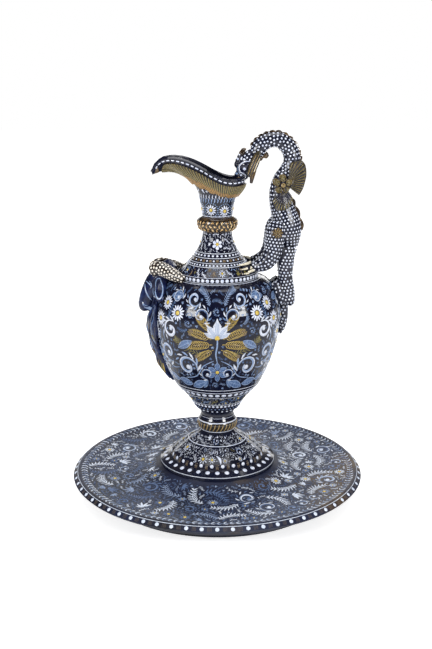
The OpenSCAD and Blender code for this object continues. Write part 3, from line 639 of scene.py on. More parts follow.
# radius in mm, tries, growth and motif
for size, tries, grow, draw in (
        (12, 700, 1.15, lambda s: fern_arc(shade(s, 0.75), s, 9)),
        (10, 900, 1.05, lambda s: scroll(shade(s, 0.6), shade(s, 0.8), s, 1.2, 6)),
        (8.4, 1500, 1.15, lambda s: cluster(shade(s, 0.85), s)),
        (6.8, 3000, 1.0, lambda s: scroll(dish_blue, shade(s, 0.7), s, 1.1, 4)),
        (5.8, 4000, 1.1, lambda s: daisy(s, 12, shade(s, 0.8), dish_yellow)),
        (5, 6000, 1.2, lambda s: rng.choice((cluster, partial(fern_arc, pairs=4)))(shade(s, 0.7), s)),
        (4, 9000, 1.15, lambda s: bloom(s, dish_blue, shade(s, 0.6), dish_yellow)),
        (2.9, 18000, 1.25, lambda s: spray(shade(s, 0.6), s)),
        (1.9, 50000, 1.6, lambda s: spray(shade(s, 0.45), s)),
        (1.2, 50000, 1.7, lambda s: rng.choice((trefoil, comma))(shade(s, 0.3), s)),
        (0.9, 40000, 2.2, lambda s: comma(rng.choice((dish_deep, dish_blue)), s))):
    flat.fill(-BORDER_R, BORDER_R, size, tries, lambda spot: draw(sized(spot, grow)))
# the border of paired leaves inside the rim
border = disc(dish_skin, BORDER_R)
BORDER_LEAVES = 150
dish_pale.line(border, BORDER_R, 0.4)
for k in range(BORDER_LEAVES):
    u = TAU * BORDER_R * (k / BORDER_LEAVES - 0.5)
    for side in (1, -1):
        own = placed(border, u, BORDER_R, side * rng.uniform(40, 54), rng.uniform(4.4, 5.6))
        slip = dish_white if rng.random() < 0.6 else dish_pale
        slip.stroke(own, [(0.05, 0), (0.5, 0.1 * side), (1, -0.06 * side)], [0.1, 0.3, 0.08], 0.3, 2)

# ---------------------------------------------------------------- foot, knop and cup
foot_disc = partial(disc, node_skin("foot"))
trim.line(belt(node_skin("foot"), 65), 38.2, 1.0)
FOOT_ROW_R, FOOT_DOTS = 51.9, 27
encircle(foot_disc, (white, 59.4, 59.6, 35, 2.6), (white, FOOT_ROW_R, 52.4, FOOT_DOTS, 2.1, 0.5),
         (white, 32.9, 32.9, 0.9))
for k in range(FOOT_DOTS):
    for shift in (-1.2, -0.4, 0.4, 1.2):
        u = TAU * FOOT_ROW_R * k / FOOT_DOTS + shift
        brown.stroke(foot_disc(FOOT_ROW_R), [(u, 51), (u, 52.4), (u, 53.6)], [0.45, 0.45], 0.15, 2)
DOME_KINDS = [partial(daisy, petals=10, slip=white), partial(daisy, petals=9, slip=trim),
              partial(fern_arc, trim, pairs=4), partial(fern_arc, olive, pairs=4),
              lambda s: scroll(blue, white, sized(s, 0.8), 1), partial(spray, white), partial(spray, trim),
              partial(trefoil, white), partial(comma, white)]
dress(foot_disc(43), 35.2, 49.4, (4.6, 3.4, 2.3), DOME_KINDS, 0.7, 30)
dress(foot_disc(27), 21.6, 31.6, (3.6, 2.4), DOME_KINDS, 0.7, 30)

KNOP_R, KNOP_STRANDS = 22, 31
knop_belt = belt(node_skin("stem_knop"), KNOP_R)
rope = Slip("knop_rope", "ewer", "rope_glaze", "8c7446 a88e5c 6a5632")
white.line(knop_belt, 74.2, 1.1)
white.line(knop_belt, 85.4, 1.1)
for k in range(KNOP_STRANDS):
    u = TAU * KNOP_R * k / KNOP_STRANDS
    rope.stroke(knop_belt, [(u - 0.8, 75.8), (u + 1.4, 79.8), (u + 2.4, 83.8)], [0.7, 1.2, 0.8], 0.5, 3)

CUP_KINDS = [partial(branch, blue), partial(branch, olive), partial(branch, pale), partial(trefoil, deep),
             partial(comma, blue), partial(daisy, petals=8, slip=pale)]
cup_belt = partial(belt, node_skin("cup"))
encircle(cup_belt, (white, 40, 90.2, 0.4), (white, 40, 100.2, 27, 1.15), (pale, 40, 103.8, 38, 0.75, 0.5),
         (white, 40, 107.6, 40, 1.6), (trim, 40, 110.4, 0.6))
dress(cup_belt(40), 111.2, 120.8, (4, 2.6), CUP_KINDS, 0.9)
encircle(cup_belt, (white, 45.5, 125.6, 38, 2.7), (white, 40, 129.6, 0.6), (trim, 40, 121.6, 0.4))

# ---------------------------------------------------------------- belly
belly_skin = node_skin("belly")
BELLY_R = 66


def feather(slip, vein, chart, barbs=10):
    """A plume one unit long: a quill with separate barbs to both sides, so that the ground shows between them."""
    slip.stroke(chart, [(0, 0), (0.5, 0.05), (1, 0)], [0.03, 0.045, 0.01], 0.35)
    for k in range(barbs):
        t = 0.12 + 0.84 * k / barbs
        reach = 0.3 * math.sin(math.pi * min(0.18 + 0.8 * t, 0.98))
        for side in (1, -1):
            own = placed(chart, t, 0.2 * t * (1 - t), side * 42)
            slip.stroke(own, [(0, 0), (reach * 0.5, side * 0.03), (reach, side * -0.02)], [0.014, 0.03, 0.01], 0.3, 2)
    vein.stroke(chart, [(0.04, 0), (0.5, 0.05), (0.92, 0.01)], [0.015, 0.02, 0.008], 0.3, 3, 0.34)


def broad_leaf(fill, edge, chart, veins=4):
    """A long leaf one unit long with a pale edge and side veins."""
    rim = [(0, 0), (0.2, 0.13), (0.5, 0.2), (0.8, 0.13), (1, 0)]
    fill.leaf(chart, rim + [(x, -y) for x, y in rim[-2:0:-1]], 0.3)
    for flip in (1, -1):
        edge.stroke(chart, [(x, y * flip) for x, y in rim], [0.02, 0.04, 0.04, 0.02], 0.2, 3, 0.2)
    edge.stroke(chart, [(0, 0), (0.5, 0.01), (0.96, 0)], [0.03, 0.03, 0.01], 0.2, 3, 0.26)
    for k in range(veins):
        x = 0.2 + 0.16 * k
        for side in (1, -1):
            edge.stroke(chart, [(x, 0), (x + 0.09, side * 0.07), (x + 0.14, side * 0.13)],
                        [0.012, 0.02, 0.008], 0.15, 2, 0.26)


def belly_flower(b):
    """The blossom on its stem with a flower at its foot, in the middle of a side."""
    bloom(placed(b, 0, 158, 30, 12), blue, pale, yellow)
    pale.stroke(b, [(0, 170), (-1.5, 180), (0, 190), (0, 200)], [0.8, 1.5, 1.6, 1.2], 0.5)
    for turn, length in ((-66, 15), (-36, 19), (36, 19), (66, 15), (0, 22)):
        own = placed(b, 0, 198, 90 + turn, length)
        trim.leaf(own, [(0, 0), (0.3, 0.16), (0.62, 0.19), (1, 0), (0.62, -0.19), (0.3, -0.16)], 0.55)
        for y in (-0.07, 0, 0.07):
            pale.stroke(own, [(0.12, y * 0.5), (0.45, y), (0.78, y * 0.5)], [0.015, 0.028, 0.008], 0.12, 3, 0.55)
    yellow.dot(b, 0, 199, 3, 0.8)


def belly_half(side):
    """Plumes, scrolls, flowers and leaves to one side of the blossom."""
    for turn, length, u, v in ((16, 26, 6, 197), (-10, 28, 5, 191), (-36, 24, 4, 185), (46, 24, 6, 205)):
        feather(gold, brown, placed(side, u, v, turn, length))
    pale.stroke(side, [(4, 172), (16, 165), (26, 152), (42, 148)], [0.6, 1.2, 1.2, 0.8], 0.35)
    for fill, u, v, turn, size, turned in ((pale, 36, 163, 200, 13, 1), (pale, 62, 176, 60, 12, -1),
                                           (white, 53, 203, 120, 10.5, 1), (pale, 26, 238, 20, 8, -1),
                                           (white, 76, 150, 150, 9, 1), (pale, 90, 226, 40, 9.5, -1),
                                           (blue, 17, 222, 250, 8.5, 1), (blue, 12, 156, 90, 7.5, -1),
                                           (blue, 48, 238, 190, 7.5, 1), (blue, 86, 210, 20, 8, -1)):
        scroll(fill, trim, placed(side, u, v, turn, size, turned))
    for line in ([(48, 160), (58, 158), (66, 163)], [(64, 188), (66, 196), (62, 204)]):
        pale.stroke(side, line, [0.5, 1.4, 0.6], 0.3)
    for u, v, r in ((44, 222, 8.6), (62, 230, 7.6), (70, 212, 8.6), (83, 194, 8.8), (96, 178, 8), (100, 208, 7.6),
                    (96, 155, 7.4)):
        daisy(placed(side, u, v, 3 * u, r), 14)
    bloom(placed(side, 81, 167, 0, 10), blue, pale, yellow)
    for u, v, turn, size in ((14, 146, -22, 22), (34, 141, 8, 22), (56, 143, 12, 20), (12, 148, -60, 12),
                             (44, 184, 150, 20), (74, 232, 10, 18), (40, 240, -6, 18), (78, 142, 20, 18)):
        broad_leaf(blue, pale, placed(side, u, v, turn, size))
    for slip, line, leaves, length, width in (
            (olive, [(16, 178), (30, 183), (42, 190), (47, 193)], 13, 7, 0.6),
            (pale, [(8, 232), (13, 243), (22, 248)], 12, 4.5, 0.5),
            (blue, [(58, 214), (55, 218), (54, 226), (50, 234)], 9, 4, 0.6),
            (pale, [(74, 178), (76, 188), (72, 198)], 9, 4, 0.5)):
        fern(slip, side, line, leaves, length, width)
    for u, v, turn in ((24, 204, 20), (27, 199, 60), (24, 174, 110)):
        brown.leaf(placed(side, u, v, turn, 6), [(0, 0), (0.4, 0.3), (1, 0.1), (0.5, -0.35)], 0.3)


for front in (-90, 90):
    field = Field(belt(belly_skin, BELLY_R, front), 0.9, BELLY_R * math.pi / 2)
    belly_flower(field)
    for flip in (1, -1):
        belly_half(placed(field, 0, 0, 0, 1, flip))
    for inset, size, tries, grow, draw in (
            (4, 6.6, 2500, 0.8, lambda s: scroll(blue, pale, s, 1.1, 4)),
            (4, 5.4, 2500, 1, lambda s: fern_arc(rng.choice((pale, blue)), s, 10)),
            (3, 4.2, 3500, 0.8, lambda s: scroll(blue, pale, s, 1.1, 4)),
            (2, 3.4, 5000, 1, lambda s: spray(rng.choice((blue, pale)), s)),
            (1, 2.4, 7000, 1.3, lambda s: spray(rng.choice((pale, blue, deep)), s)),
            (0, 1.6, 9000, 1.4, lambda s: trefoil(rng.choice((pale, blue, deep)), s)),
            (0, 1.0, 16000, 1.7, lambda s: comma(rng.choice((blue, deep, deep)), s))):
        field.fill(137 + inset, 247 - inset, size, tries, lambda spot: draw(sized(spot, grow)))
trim.line(belt(belly_skin, BELLY_R), 133.4, 0.7)
white.line(disc(belly_skin, 50), 47.6, 0.7)

# ---------------------------------------------------------------- shoulder, neck and throat
white.row(belt(node_skin("shoulder"), 44.5), 254, 53, 2.0)
trim.line(belt(node_skin("shoulder"), 35), 251.4, 0.6)
shoulder_disc = partial(disc, node_skin("shoulder"))
white.line(shoulder_disc(43.4), 43.2, 0.6)
CONE_KINDS = [partial(daisy, petals=9, slip=white), partial(daisy, petals=8, slip=pale), partial(branch, white),
              partial(branch, pale), partial(branch, brown), partial(trefoil, brown), partial(comma, brown),
              partial(trefoil, olive), partial(comma, pale)]
dress(shoulder_disc(38), 34.2, 41.8, (3.2, 2.1), CONE_KINDS, 0.8)
CONE_ROW_R, CONE_DOTS = 27.7, 23
encircle(shoulder_disc, (trim, 33.2, 33.2, 0.6), (white, 31.6, 31.6, 50, 1.15), (trim, 29.9, 29.8, 0.5),
         (white, CONE_ROW_R, CONE_ROW_R, CONE_DOTS, 1.1, 0.5), (trim, 25.8, 25.8, 0.5), (white, 24.2, 24.1, 32, 1.3),
         (trim, 22.6, 22.6, 0.5))
for k in range(CONE_DOTS):
    x = TAU * CONE_ROW_R * (k + 0.5) / CONE_DOTS + TAU * CONE_ROW_R * 0.5 / CONE_DOTS
    brown.leaf(shoulder_disc(CONE_ROW_R), [(x - 1.5, 26.8), (x + 1.5, 26.8), (x + 1.5, 28.6), (x - 1.5, 28.6)], 0.2)

NECK_R, THROAT_R = 18, 17
NECK_KINDS = [partial(branch, white), partial(spray, trim), partial(spray, white), partial(trefoil, trim),
              partial(comma, white)]
neck_belt = belt(node_skin("neck"), NECK_R)
neck = Field(neck_belt, 0.6, math.pi * NECK_R)
for k in range(4):
    own = placed(neck, TAU * NECK_R * k / 4 - TAU * NECK_R * (k > 2), 289, 0, 5.6)
    for turn in range(30, 390, 60):
        white.leaf(placed(own, 0, 0, turn), [(0.2, 0), (0.5, 0.27), (0.85, 0.28), (1, 0), (0.85, -0.28), (0.5, -0.27)],
                   0.4)
    yellow.dot(own, 0, 0, 0.3, 0.9)
for size, tries in ((2.6, 1200), (1.9, 3600), (1.3, 7000), (0.8, 14000)):
    neck.fill(265, 301, size, tries, any_of(NECK_KINDS, 1.5))
for k in range(22):
    u = TAU * NECK_R * k / 22
    white.stroke(neck_belt, [(u, 298.4), (u + 1, 299.4), (u + 2.2, 298.6)], [0.3, 0.8, 0.2], 0.2, 2)

throat_belt = belt(node_skin("throat", "spout"), THROAT_R)
throat = Field(throat_belt, 0.8, math.pi * THROAT_R)
for k in range(7):
    u = TAU * THROAT_R * (k - 0.46 - 7 * (k > 3)) / 7
    own = placed(throat, u, 325.5 - 1.2 * (k % 2), 9 * k, 6.3)
    daisy(own)
    for j in range(22):
        w = TAU * j / 22
        pale.dot(own, 1.22 * math.cos(w), 1.22 * math.sin(w), 0.1, 0.3, 6)
for k in range(34):
    u = TAU * THROAT_R * (k - 17) / 34
    pale.stroke(throat, [(u, 333.5), (u + 0.8, 336), (u + 0.2, 338.6)], [0.5, 1.1, 0.3], 0.25, 3)
    white.stroke(throat, [(u + 2, 337.5), (u + 1.6, 340), (u + 2.4, 342.4)], [0.3, 0.8, 0.2], 0.25, 3)
for size, tries in ((2.6, 1200), (1.5, 3600), (0.9, 5000)):
    throat.fill(318.8, 348, size, tries, any_of(NECK_KINDS, 1.2))
white.line(throat_belt, 318.2, 0.9)
white.line(neck_belt, 300.8, 0.8)

# ---------------------------------------------------------------- collar: studs of clay in relief, with painted shade in the pits between them
COLLAR_R, STUD_R, PIT_SHADE_LIFT = 21.7, 1.7, 0.2
collar_belt = belt(node_skin("collar"), COLLAR_R)
studs = Slip("collar_studs", "ewer", "amber_glaze", "7a5a30 c09a60 e8d2a4")
pit_shade = Slip("collar_pit_shade", "ewer", "amber_glaze", "100a08 1c120a")
for j, (v, count) in enumerate(((304.6, 26), (308.2, 28), (311.8, 26))):
    for k in range(count):
        u = TAU * COLLAR_R * (k + 0.5 * (j % 2)) / count
        worm = placed(collar_belt, u, v, rng.uniform(0, 180), STUD_R)
        studs.stroke(worm, [(-1, -0.2), (0, 0.35), (1, -0.2)], [0.5, 0.9, 0.5], 0.8, 2)
        # dark dots of painted shade in the pits between the studs
        for rise, r in ((STUD_R, 1.35), (0, 0.9)):
            pit_shade.dot(collar_belt, u + TAU * COLLAR_R * 0.5 / count, v + rise, r, PIT_SHADE_LIFT, 8, tall=1.2)


# ---------------------------------------------------------------- rounded clay over the modelled limbs
WELD = 0.01 * MM


def joined_mesh(names, lengths):
    """One mesh of those nodes' closed shells, for the shells whose length in metres lies between those two."""
    whole = bmesh.new()
    for n in names:
        whole.from_mesh(frame["nodes"][n].data)
    bmesh.ops.remove_doubles(whole, verts=whole.verts, dist=WELD)
    seen, doomed = set(), []
    for first in whole.verts:
        if first in seen:
            continue
        shell, todo = [], [first]
        seen.add(first)
        while todo:
            v = todo.pop()
            shell.append(v)
            for e in v.link_edges:
                o = e.other_vert(v)
                if o not in seen:
                    seen.add(o)
                    todo.append(o)
        if not lengths[0] < max((a.co - shell[0].co).length for a in shell) < lengths[1]:
            doomed += shell
    bmesh.ops.delete(whole, geom=doomed, context="VERTS")
    mesh = bpy.data.meshes.new("clay")
    whole.to_mesh(mesh)
    whole.free()
    return mesh


def ball():
    """The points and faces of a sphere of radius 1."""
    whole = bmesh.new()
    bmesh.ops.create_uvsphere(whole, u_segments=20, v_segments=12, radius=1)
    points = [v.co.copy() for v in whole.verts]
    faces = [[v.index for v in f.verts] for f in whole.faces]
    whole.free()
    return points, faces


BALL_POINTS, BALL_FACES = ball()


def with_lumps(mesh, lumps):
    """That mesh and a ball of its own for each lump (x, y, z, rx, ry, rz) in mm."""
    points = [v.co.copy() for v in mesh.vertices]
    faces = [list(p.vertices) for p in mesh.polygons]
    for x, y, z, rx, ry, rz in lumps:
        start = len(points)
        points += [((x + rx * p.x) * MM, (y + ry * p.y) * MM, (z + rz * p.z) * MM) for p in BALL_POINTS]
        faces += [[start + i for i in face] for face in BALL_FACES]
    mesh = bpy.data.meshes.new("clay")
    mesh.from_pydata(points, [], faces)
    return mesh


def clay(name, names, slot, claims=(), lumps=(), voxel=0.8, swell=0.4, rounds=5, lengths=(0, 1), material=None):
    """A single rounded skin over several modelled pieces and lumps, as wet clay joins them."""
    mesh = joined_mesh(names, lengths)
    obj = new_object(name + "_draft", with_lumps(mesh, lumps) if lumps else mesh)
    push = obj.modifiers.new("push", "DISPLACE")
    push.strength, push.mid_level = swell * MM, 0
    remesh = obj.modifiers.new("remesh", "REMESH")
    remesh.mode, remesh.voxel_size = "VOXEL", voxel * MM
    ease = obj.modifiers.new("ease", "SMOOTH")
    ease.factor, ease.iterations = 0.5, rounds
    deps = bpy.context.evaluated_depsgraph_get()
    made = bpy.data.meshes.new_from_object(obj.evaluated_get(deps))
    bpy.data.objects.remove(obj)
    made.name = name
    made.materials.clear()
    made.materials.append(material or GLAZE[slot])
    for p in made.polygons:
        p.use_smooth = True
    out = new_object(name, made)
    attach(out, "ewer")
    if claims:
        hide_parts(*claims)
    return out


LIMBS = ["dragon_trunk", "dragon_head", "foreleg_near", "foreleg_far", "hindleg_near", "hindleg_far", "tail"]
CLAW_LENGTH = 0.022
MUZZLE = [(24.6, 0, 361.6, 6.0, 6.4, 4.4), (29.4, 0, 359.6, 3.6, 5.4, 3.2),
          (20.9, 0, 372.5, 2.6, 3.4, 3.4), (22.4, 0, 376.5, 2.8, 3.4, 3.6), (24.6, 0, 380.4, 3.0, 3.4, 3.6)]
dragon = clay("dragon_clay", LIMBS, "dragon_glaze", LIMBS, MUZZLE, lengths=(CLAW_LENGTH, 1))
KNOB_ROOTS = [(26.6, 0, 384.4, 3.4, 3.6, 3.2), (45.6, 0, 379.6, 3.2, 3.6, 3.4)]
clay("knob_clay", ["head_knobs"], "amber_glaze", ["head_knobs"], KNOB_ROOTS, voxel=0.5, swell=0.3, rounds=3)
clay("dragon_claws", ["foreleg_near", "foreleg_far"], "dragon_glaze", voxel=0.35, swell=0.25, rounds=2,
     lengths=(0, CLAW_LENGTH))
FOLD_TURNS, FOLD_STEPS, FOLD_TOP, FOLD_FOOT, FOLD_WAVE = (-16.5, -10, -3.4, 3.4, 10, 16.5), 40, 218, 136, 21
FOLD_SINK, FOLD_R, FOLD_SWING, FOLD_RZ, FOLD_SHIFT = 0.7, 1.9, 0.8, 2.4, 2.1


def fold_lumps():
    """Lumps in rows for the folds of the drape, which swell and narrow on their way down."""
    drape, lumps = node_skin("drape"), []
    for row, turn in enumerate(FOLD_TURNS):
        out = Vector((*polar(1, 180 + turn), 0))
        for k in range(FOLD_STEPS + 1):
            z = FOLD_TOP + (FOLD_FOOT - FOLD_TOP) * k / FOLD_STEPS
            spot = drape.hit(out * FAR + Vector((0, 0, z * MM)), -out)
            if spot:
                x, y, _ = spot[0] / MM - spot[1] * FOLD_SINK
                size = FOLD_R + FOLD_SWING * math.sin(z * TAU / FOLD_WAVE + FOLD_SHIFT * row)
                lumps.append((x, y, z, size, size, FOLD_RZ))
    return lumps


MASK_NODES, HORN_NODES = ["mask", "mask_ear_near", "mask_ear_far", "drape"], ["horn_near", "horn_far"]
ram = clay("mask_clay", MASK_NODES, "blue_glaze", MASK_NODES, fold_lumps())
horns = clay("mask_horns", HORN_NODES, "horn_glaze", HORN_NODES)
TALON_RADII, TALON_START, TALON_SWEEP, TALON_STEPS = (34.4, 38.4, 42.4), 20, 30, 10
TALON_PULL, TALON_LIFT, TALON_ARCH, TALON_R, TALON_TAPER = 1.4, 1.2, 3.4, 1.6, 1.0


def talon_lumps():
    """Lumps in rows for three talons at each paw, which lie along the cone and taper to their tips."""
    cone, lumps = node_skin("shoulder"), []
    for flip in (1, -1):
        for radius in TALON_RADII:
            for k in range(TALON_STEPS + 1):
                t = k / TALON_STEPS
                x, y = polar((radius - TALON_PULL * t * t) * MM, -TALON_START - TALON_SWEEP * t)
                place, normal = cone.drop(x, flip * y)
                rise = TALON_LIFT + TALON_ARCH * math.cos(math.radians(80 * t))
                size = TALON_R - TALON_TAPER * t ** 2.5
                lumps.append((*(place / MM + normal * rise), size, size, size))
    return lumps


cream_glaze = glaze("cream_glaze", ["b8ac8c", "ece6d4", "d8ccae"], 300)
clay("dragon_talons", [], "dragon_glaze", (), talon_lumps(), 0.35, 0.05, 2, material=cream_glaze)

# ---------------------------------------------------------------- beads in rows over the dragon and the horns
BACK_X, BASE_Z, SPAN_X, SPAN_Z, CHEST = 30, 250.9, 61, 109.1, 15
# limbs as [x, z, radius] in shares of those spans, and how far out they lie, in shares of CHEST
PATHS = {
    "trunk": ([[0.19, 1.23, 0.5], [0.27, 1.3, 0.53], [0.42, 1.35, 0.52], [0.6, 1.348, 0.53], [0.76, 1.27, 0.56],
               [0.82, 1.16, 0.58], [0.76, 1.06, 0.6], [0.65, 0.97, 0.62], [0.6, 0.87, 0.66], [0.62, 0.76, 0.76],
               [0.68, 0.65, 0.88], [0.74, 0.52, 1], [0.76, 0.4, 0.96], [0.77, 0.29, 0.68]], [0, 0]),
    "head": ([[0.155, 1.21, 0.48], [0.09, 1.175, 0.56], [0.03, 1.13, 0.58], [-0.04, 1.08, 0.46]], [0, 0]),
    "foreleg": ([[0.555, 0.56, 0.42], [0.53, 0.48, 0.62], [0.515, 0.37, 0.66], [0.475, 0.255, 0.64],
                 [0.37, 0.165, 0.56], [0.22, 0.132, 0.42], [0.14, 0.138, 0.26]],
                [0.88, 0.95, 1, 1.05, 1.1, 1.12, 1.14]),
    "thigh": ([[0.75, 0.32, 0.56], [0.735, 0.2, 0.58], [0.73, 0.03, 0.48], [0.78, -0.13, 0.44], [0.82, -0.24, 0.32]],
              [0.82, 0.8, 0.72, 0.7, 0.7]),
    "tail": ([[0.775, 0.28, 0.34], [0.78, 0.15, 0.34], [0.77, 0, 0.32], [0.7, -0.2, 0.31], [0.69, -0.32, 0.3],
              [0.68, -0.44, 0.28], [0.66, -0.53, 0.24], [0.65, -0.59, 0.14]], [0, 0]),
    "shin": ([[0.79, -0.25, 0.34], [0.74, -0.17, 0.34], [0.66, -0.1, 0.34], [0.6, -0.05, 0.34]],
             [0.7, 0.75, 0.75, 0.7]),
}
TUBE_STEPS, ROW_PITCH, LEAST_GAP, REACH = 400, 0.87, 0.84, 1.6 * MM


class Beads:
    """Beads in staggered rows round a limb, kept apart from each other."""

    def __init__(self, slip, skin, pitch, r, bare=lambda place: False):
        self.slip, self.skin, self.pitch, self.r, self.bare = slip, skin, pitch, r, bare
        self.cells = {}

    def free(self, p):
        """Whether no other bead is too near to a place, which is then noted as taken."""
        i, j, k = [math.floor(c / (self.pitch * MM)) for c in p]
        near = [q for di in (-1, 0, 1) for dj in (-1, 0, 1) for dk in (-1, 0, 1)
                for q in self.cells.get((i + di, j + dj, k + dk), ())]
        if any((p - q).length < LEAST_GAP * self.pitch * MM for q in near):
            return False
        self.cells.setdefault((i, j, k), []).append(p)
        return True

    def try_at(self, spot):
        """A bead on the surface nearest to a spot, where one fits."""
        place, normal, _, gap = self.skin.tree.find_nearest(spot)
        if place is not None and gap < REACH and not self.bare(place) and self.free(place):
            self.slip.bead(place, normal, self.r * rng.uniform(0.9, 1.1))

    def tube(self, path):
        """Rows round a path of [x, y, z, radius] in mm."""
        length, row, last = 0.0, 0, Vector(path[0][:3])
        for k in range(TUBE_STEPS + 1):
            t = k / TUBE_STEPS
            *spot, r = curve(path, t)
            here = Vector(spot)
            length += (here - last).length
            last = here
            if length < row * self.pitch * ROW_PITCH:
                continue
            row += 1
            ahead, behind = [Vector(curve(path, share)[:3]) for share in (min(t + 0.01, 1), max(t - 0.01, 0))]
            along = (ahead - behind).normalized()
            a = Vector((0, 1, 0)).cross(along).normalized()
            b = along.cross(a)
            count = max(5, round(TAU * r / self.pitch))
            for j in range(count):
                w = TAU * (j + 0.5 * (row % 2)) / count
                self.try_at((here + (a * math.cos(w) + b * math.sin(w)) * r) * MM)

    def fill(self, mesh, tries):
        """Beads in the gaps that the rows leave."""
        faces = list(mesh.polygons)
        for _ in range(tries):
            self.try_at(rng.choice(faces).center.copy())


def limb(name, flip=1):
    """The path of a limb in mm; flip is 1 for the near side and -1 for the far one."""
    shares, outs = PATHS[name]
    return [[BACK_X + SPAN_X * x, -flip * value(outs, k / (len(shares) - 1)) * CHEST, BASE_Z + SPAN_Z * z, CHEST * r]
            for k, (x, z, r) in enumerate(shares)]


FACE_X, FACE_Z = 36.5 * MM, 377.5 * MM
dragon_skin = Skin(dragon)
scales = Beads(white, dragon_skin, 3.95, 1.12, lambda p: p.x < FACE_X and p.z < FACE_Z)
for name in ("trunk", "head", "tail"):
    scales.tube(limb(name))
for flip in (1, -1):
    for name in ("foreleg", "thigh", "shin"):
        scales.tube(limb(name, flip))
scales.fill(dragon.data, 12000)

horn_beads = Beads(Slip("horn_slip", "ewer", "horn_glaze", "f2efe9 e6dfd4 cfc2ac"), Skin(horns), 4.1, 1.3)
HORN_R = 7.6
HORN_PATH = ((-173.5, 258, 71, 0.93), (-170, 261.5, 65.1, 0.95), (-163, 259.7, 58.7, 0.9), (-152, 256.2, 51.6, 0.78),
             (-139, 253, 48, 0.4))
for side in (1, -1):
    path = []
    for turn, height, reach, share in HORN_PATH:
        x, y = polar(reach, turn)
        path.append([x, side * y, height, HORN_R * share])
    horn_beads.tube(path)
horn_beads.fill(horns.data, 3000)

# ---------------------------------------------------------------- the dragon's face, fins and fans
amber = Slip("ewer_amber_slip", "ewer", "amber_glaze", "6e5a32 8a7444 50401f")
rib_gold = Slip("leaf_band_gold", "ewer", "olive_gold_glaze", "6a6038 8a7c4a 544a2a")
clay_gold = Slip("fan_gold", "ewer", "olive_gold_glaze", "544a2a 70643c 3e361e", 0.34)
cream = Slip("cream_slip", "ewer", "dragon_glaze", "e6dcc0 cbb992 f0e9d6")
HUB_X, HUB_Z, FAN_REACH, ROSETTE_X, ROSETTE_R, PETALS = 72.1, 352.4, 30.5, 69.7, 8.6, 5
# first and last angle, reaches, hub height, ribs and the share of the reach where the gold starts
WING = (74, -38, [0.8, 1, 0.86, 0.72, 0.66, 0.64], HUB_Z, 14, 0.34)
SHELL = (306, 230, [0.5, 0.7, 0.83, 0.82, 0.66], HUB_Z - 2.4, 11, 0.62)


def fan_ribs(chart, fan):
    """Dark furrows and gold ridges from a fan's root to its rim."""
    start, end, reaches, hub_z, count, gold_from = fan
    for k in range(2 * count - 1):
        f = (k + 0.6) / (2 * count - 0.8)
        w = math.radians(start + (end - start) * f)
        reach = FAN_REACH * value(reaches, f)
        root, mid, tip = [(HUB_X + reach * s * math.cos(w), hub_z + reach * s * math.sin(w))
                          for s in (0.34, max(0.62, gold_from + 0.12), 0.95)]
        if k % 2:
            dark.stroke(chart, [root, mid, tip], [0.2, 0.6, 0.9], 0.15, 3)
        elif gold_from > 0.4:
            dark.stroke(chart, [root, mid], [0.3, 0.9, 0.4], 0.15, 3)
            rib_gold.stroke(chart, [mid, tip], [0.3, 1.0], 0.5, 3)
        else:
            clay_gold.stroke(chart, [root, mid, tip], [0.25, 0.7, 1.1], 0.5, 3)


def paint(chart, strokes):
    """Strokes in the order of the list, each (slip, points, widths, lift, steps, base)."""
    for slip, line, widths, lift, steps, base in strokes:
        slip.stroke(chart, line, widths, lift, steps, base)


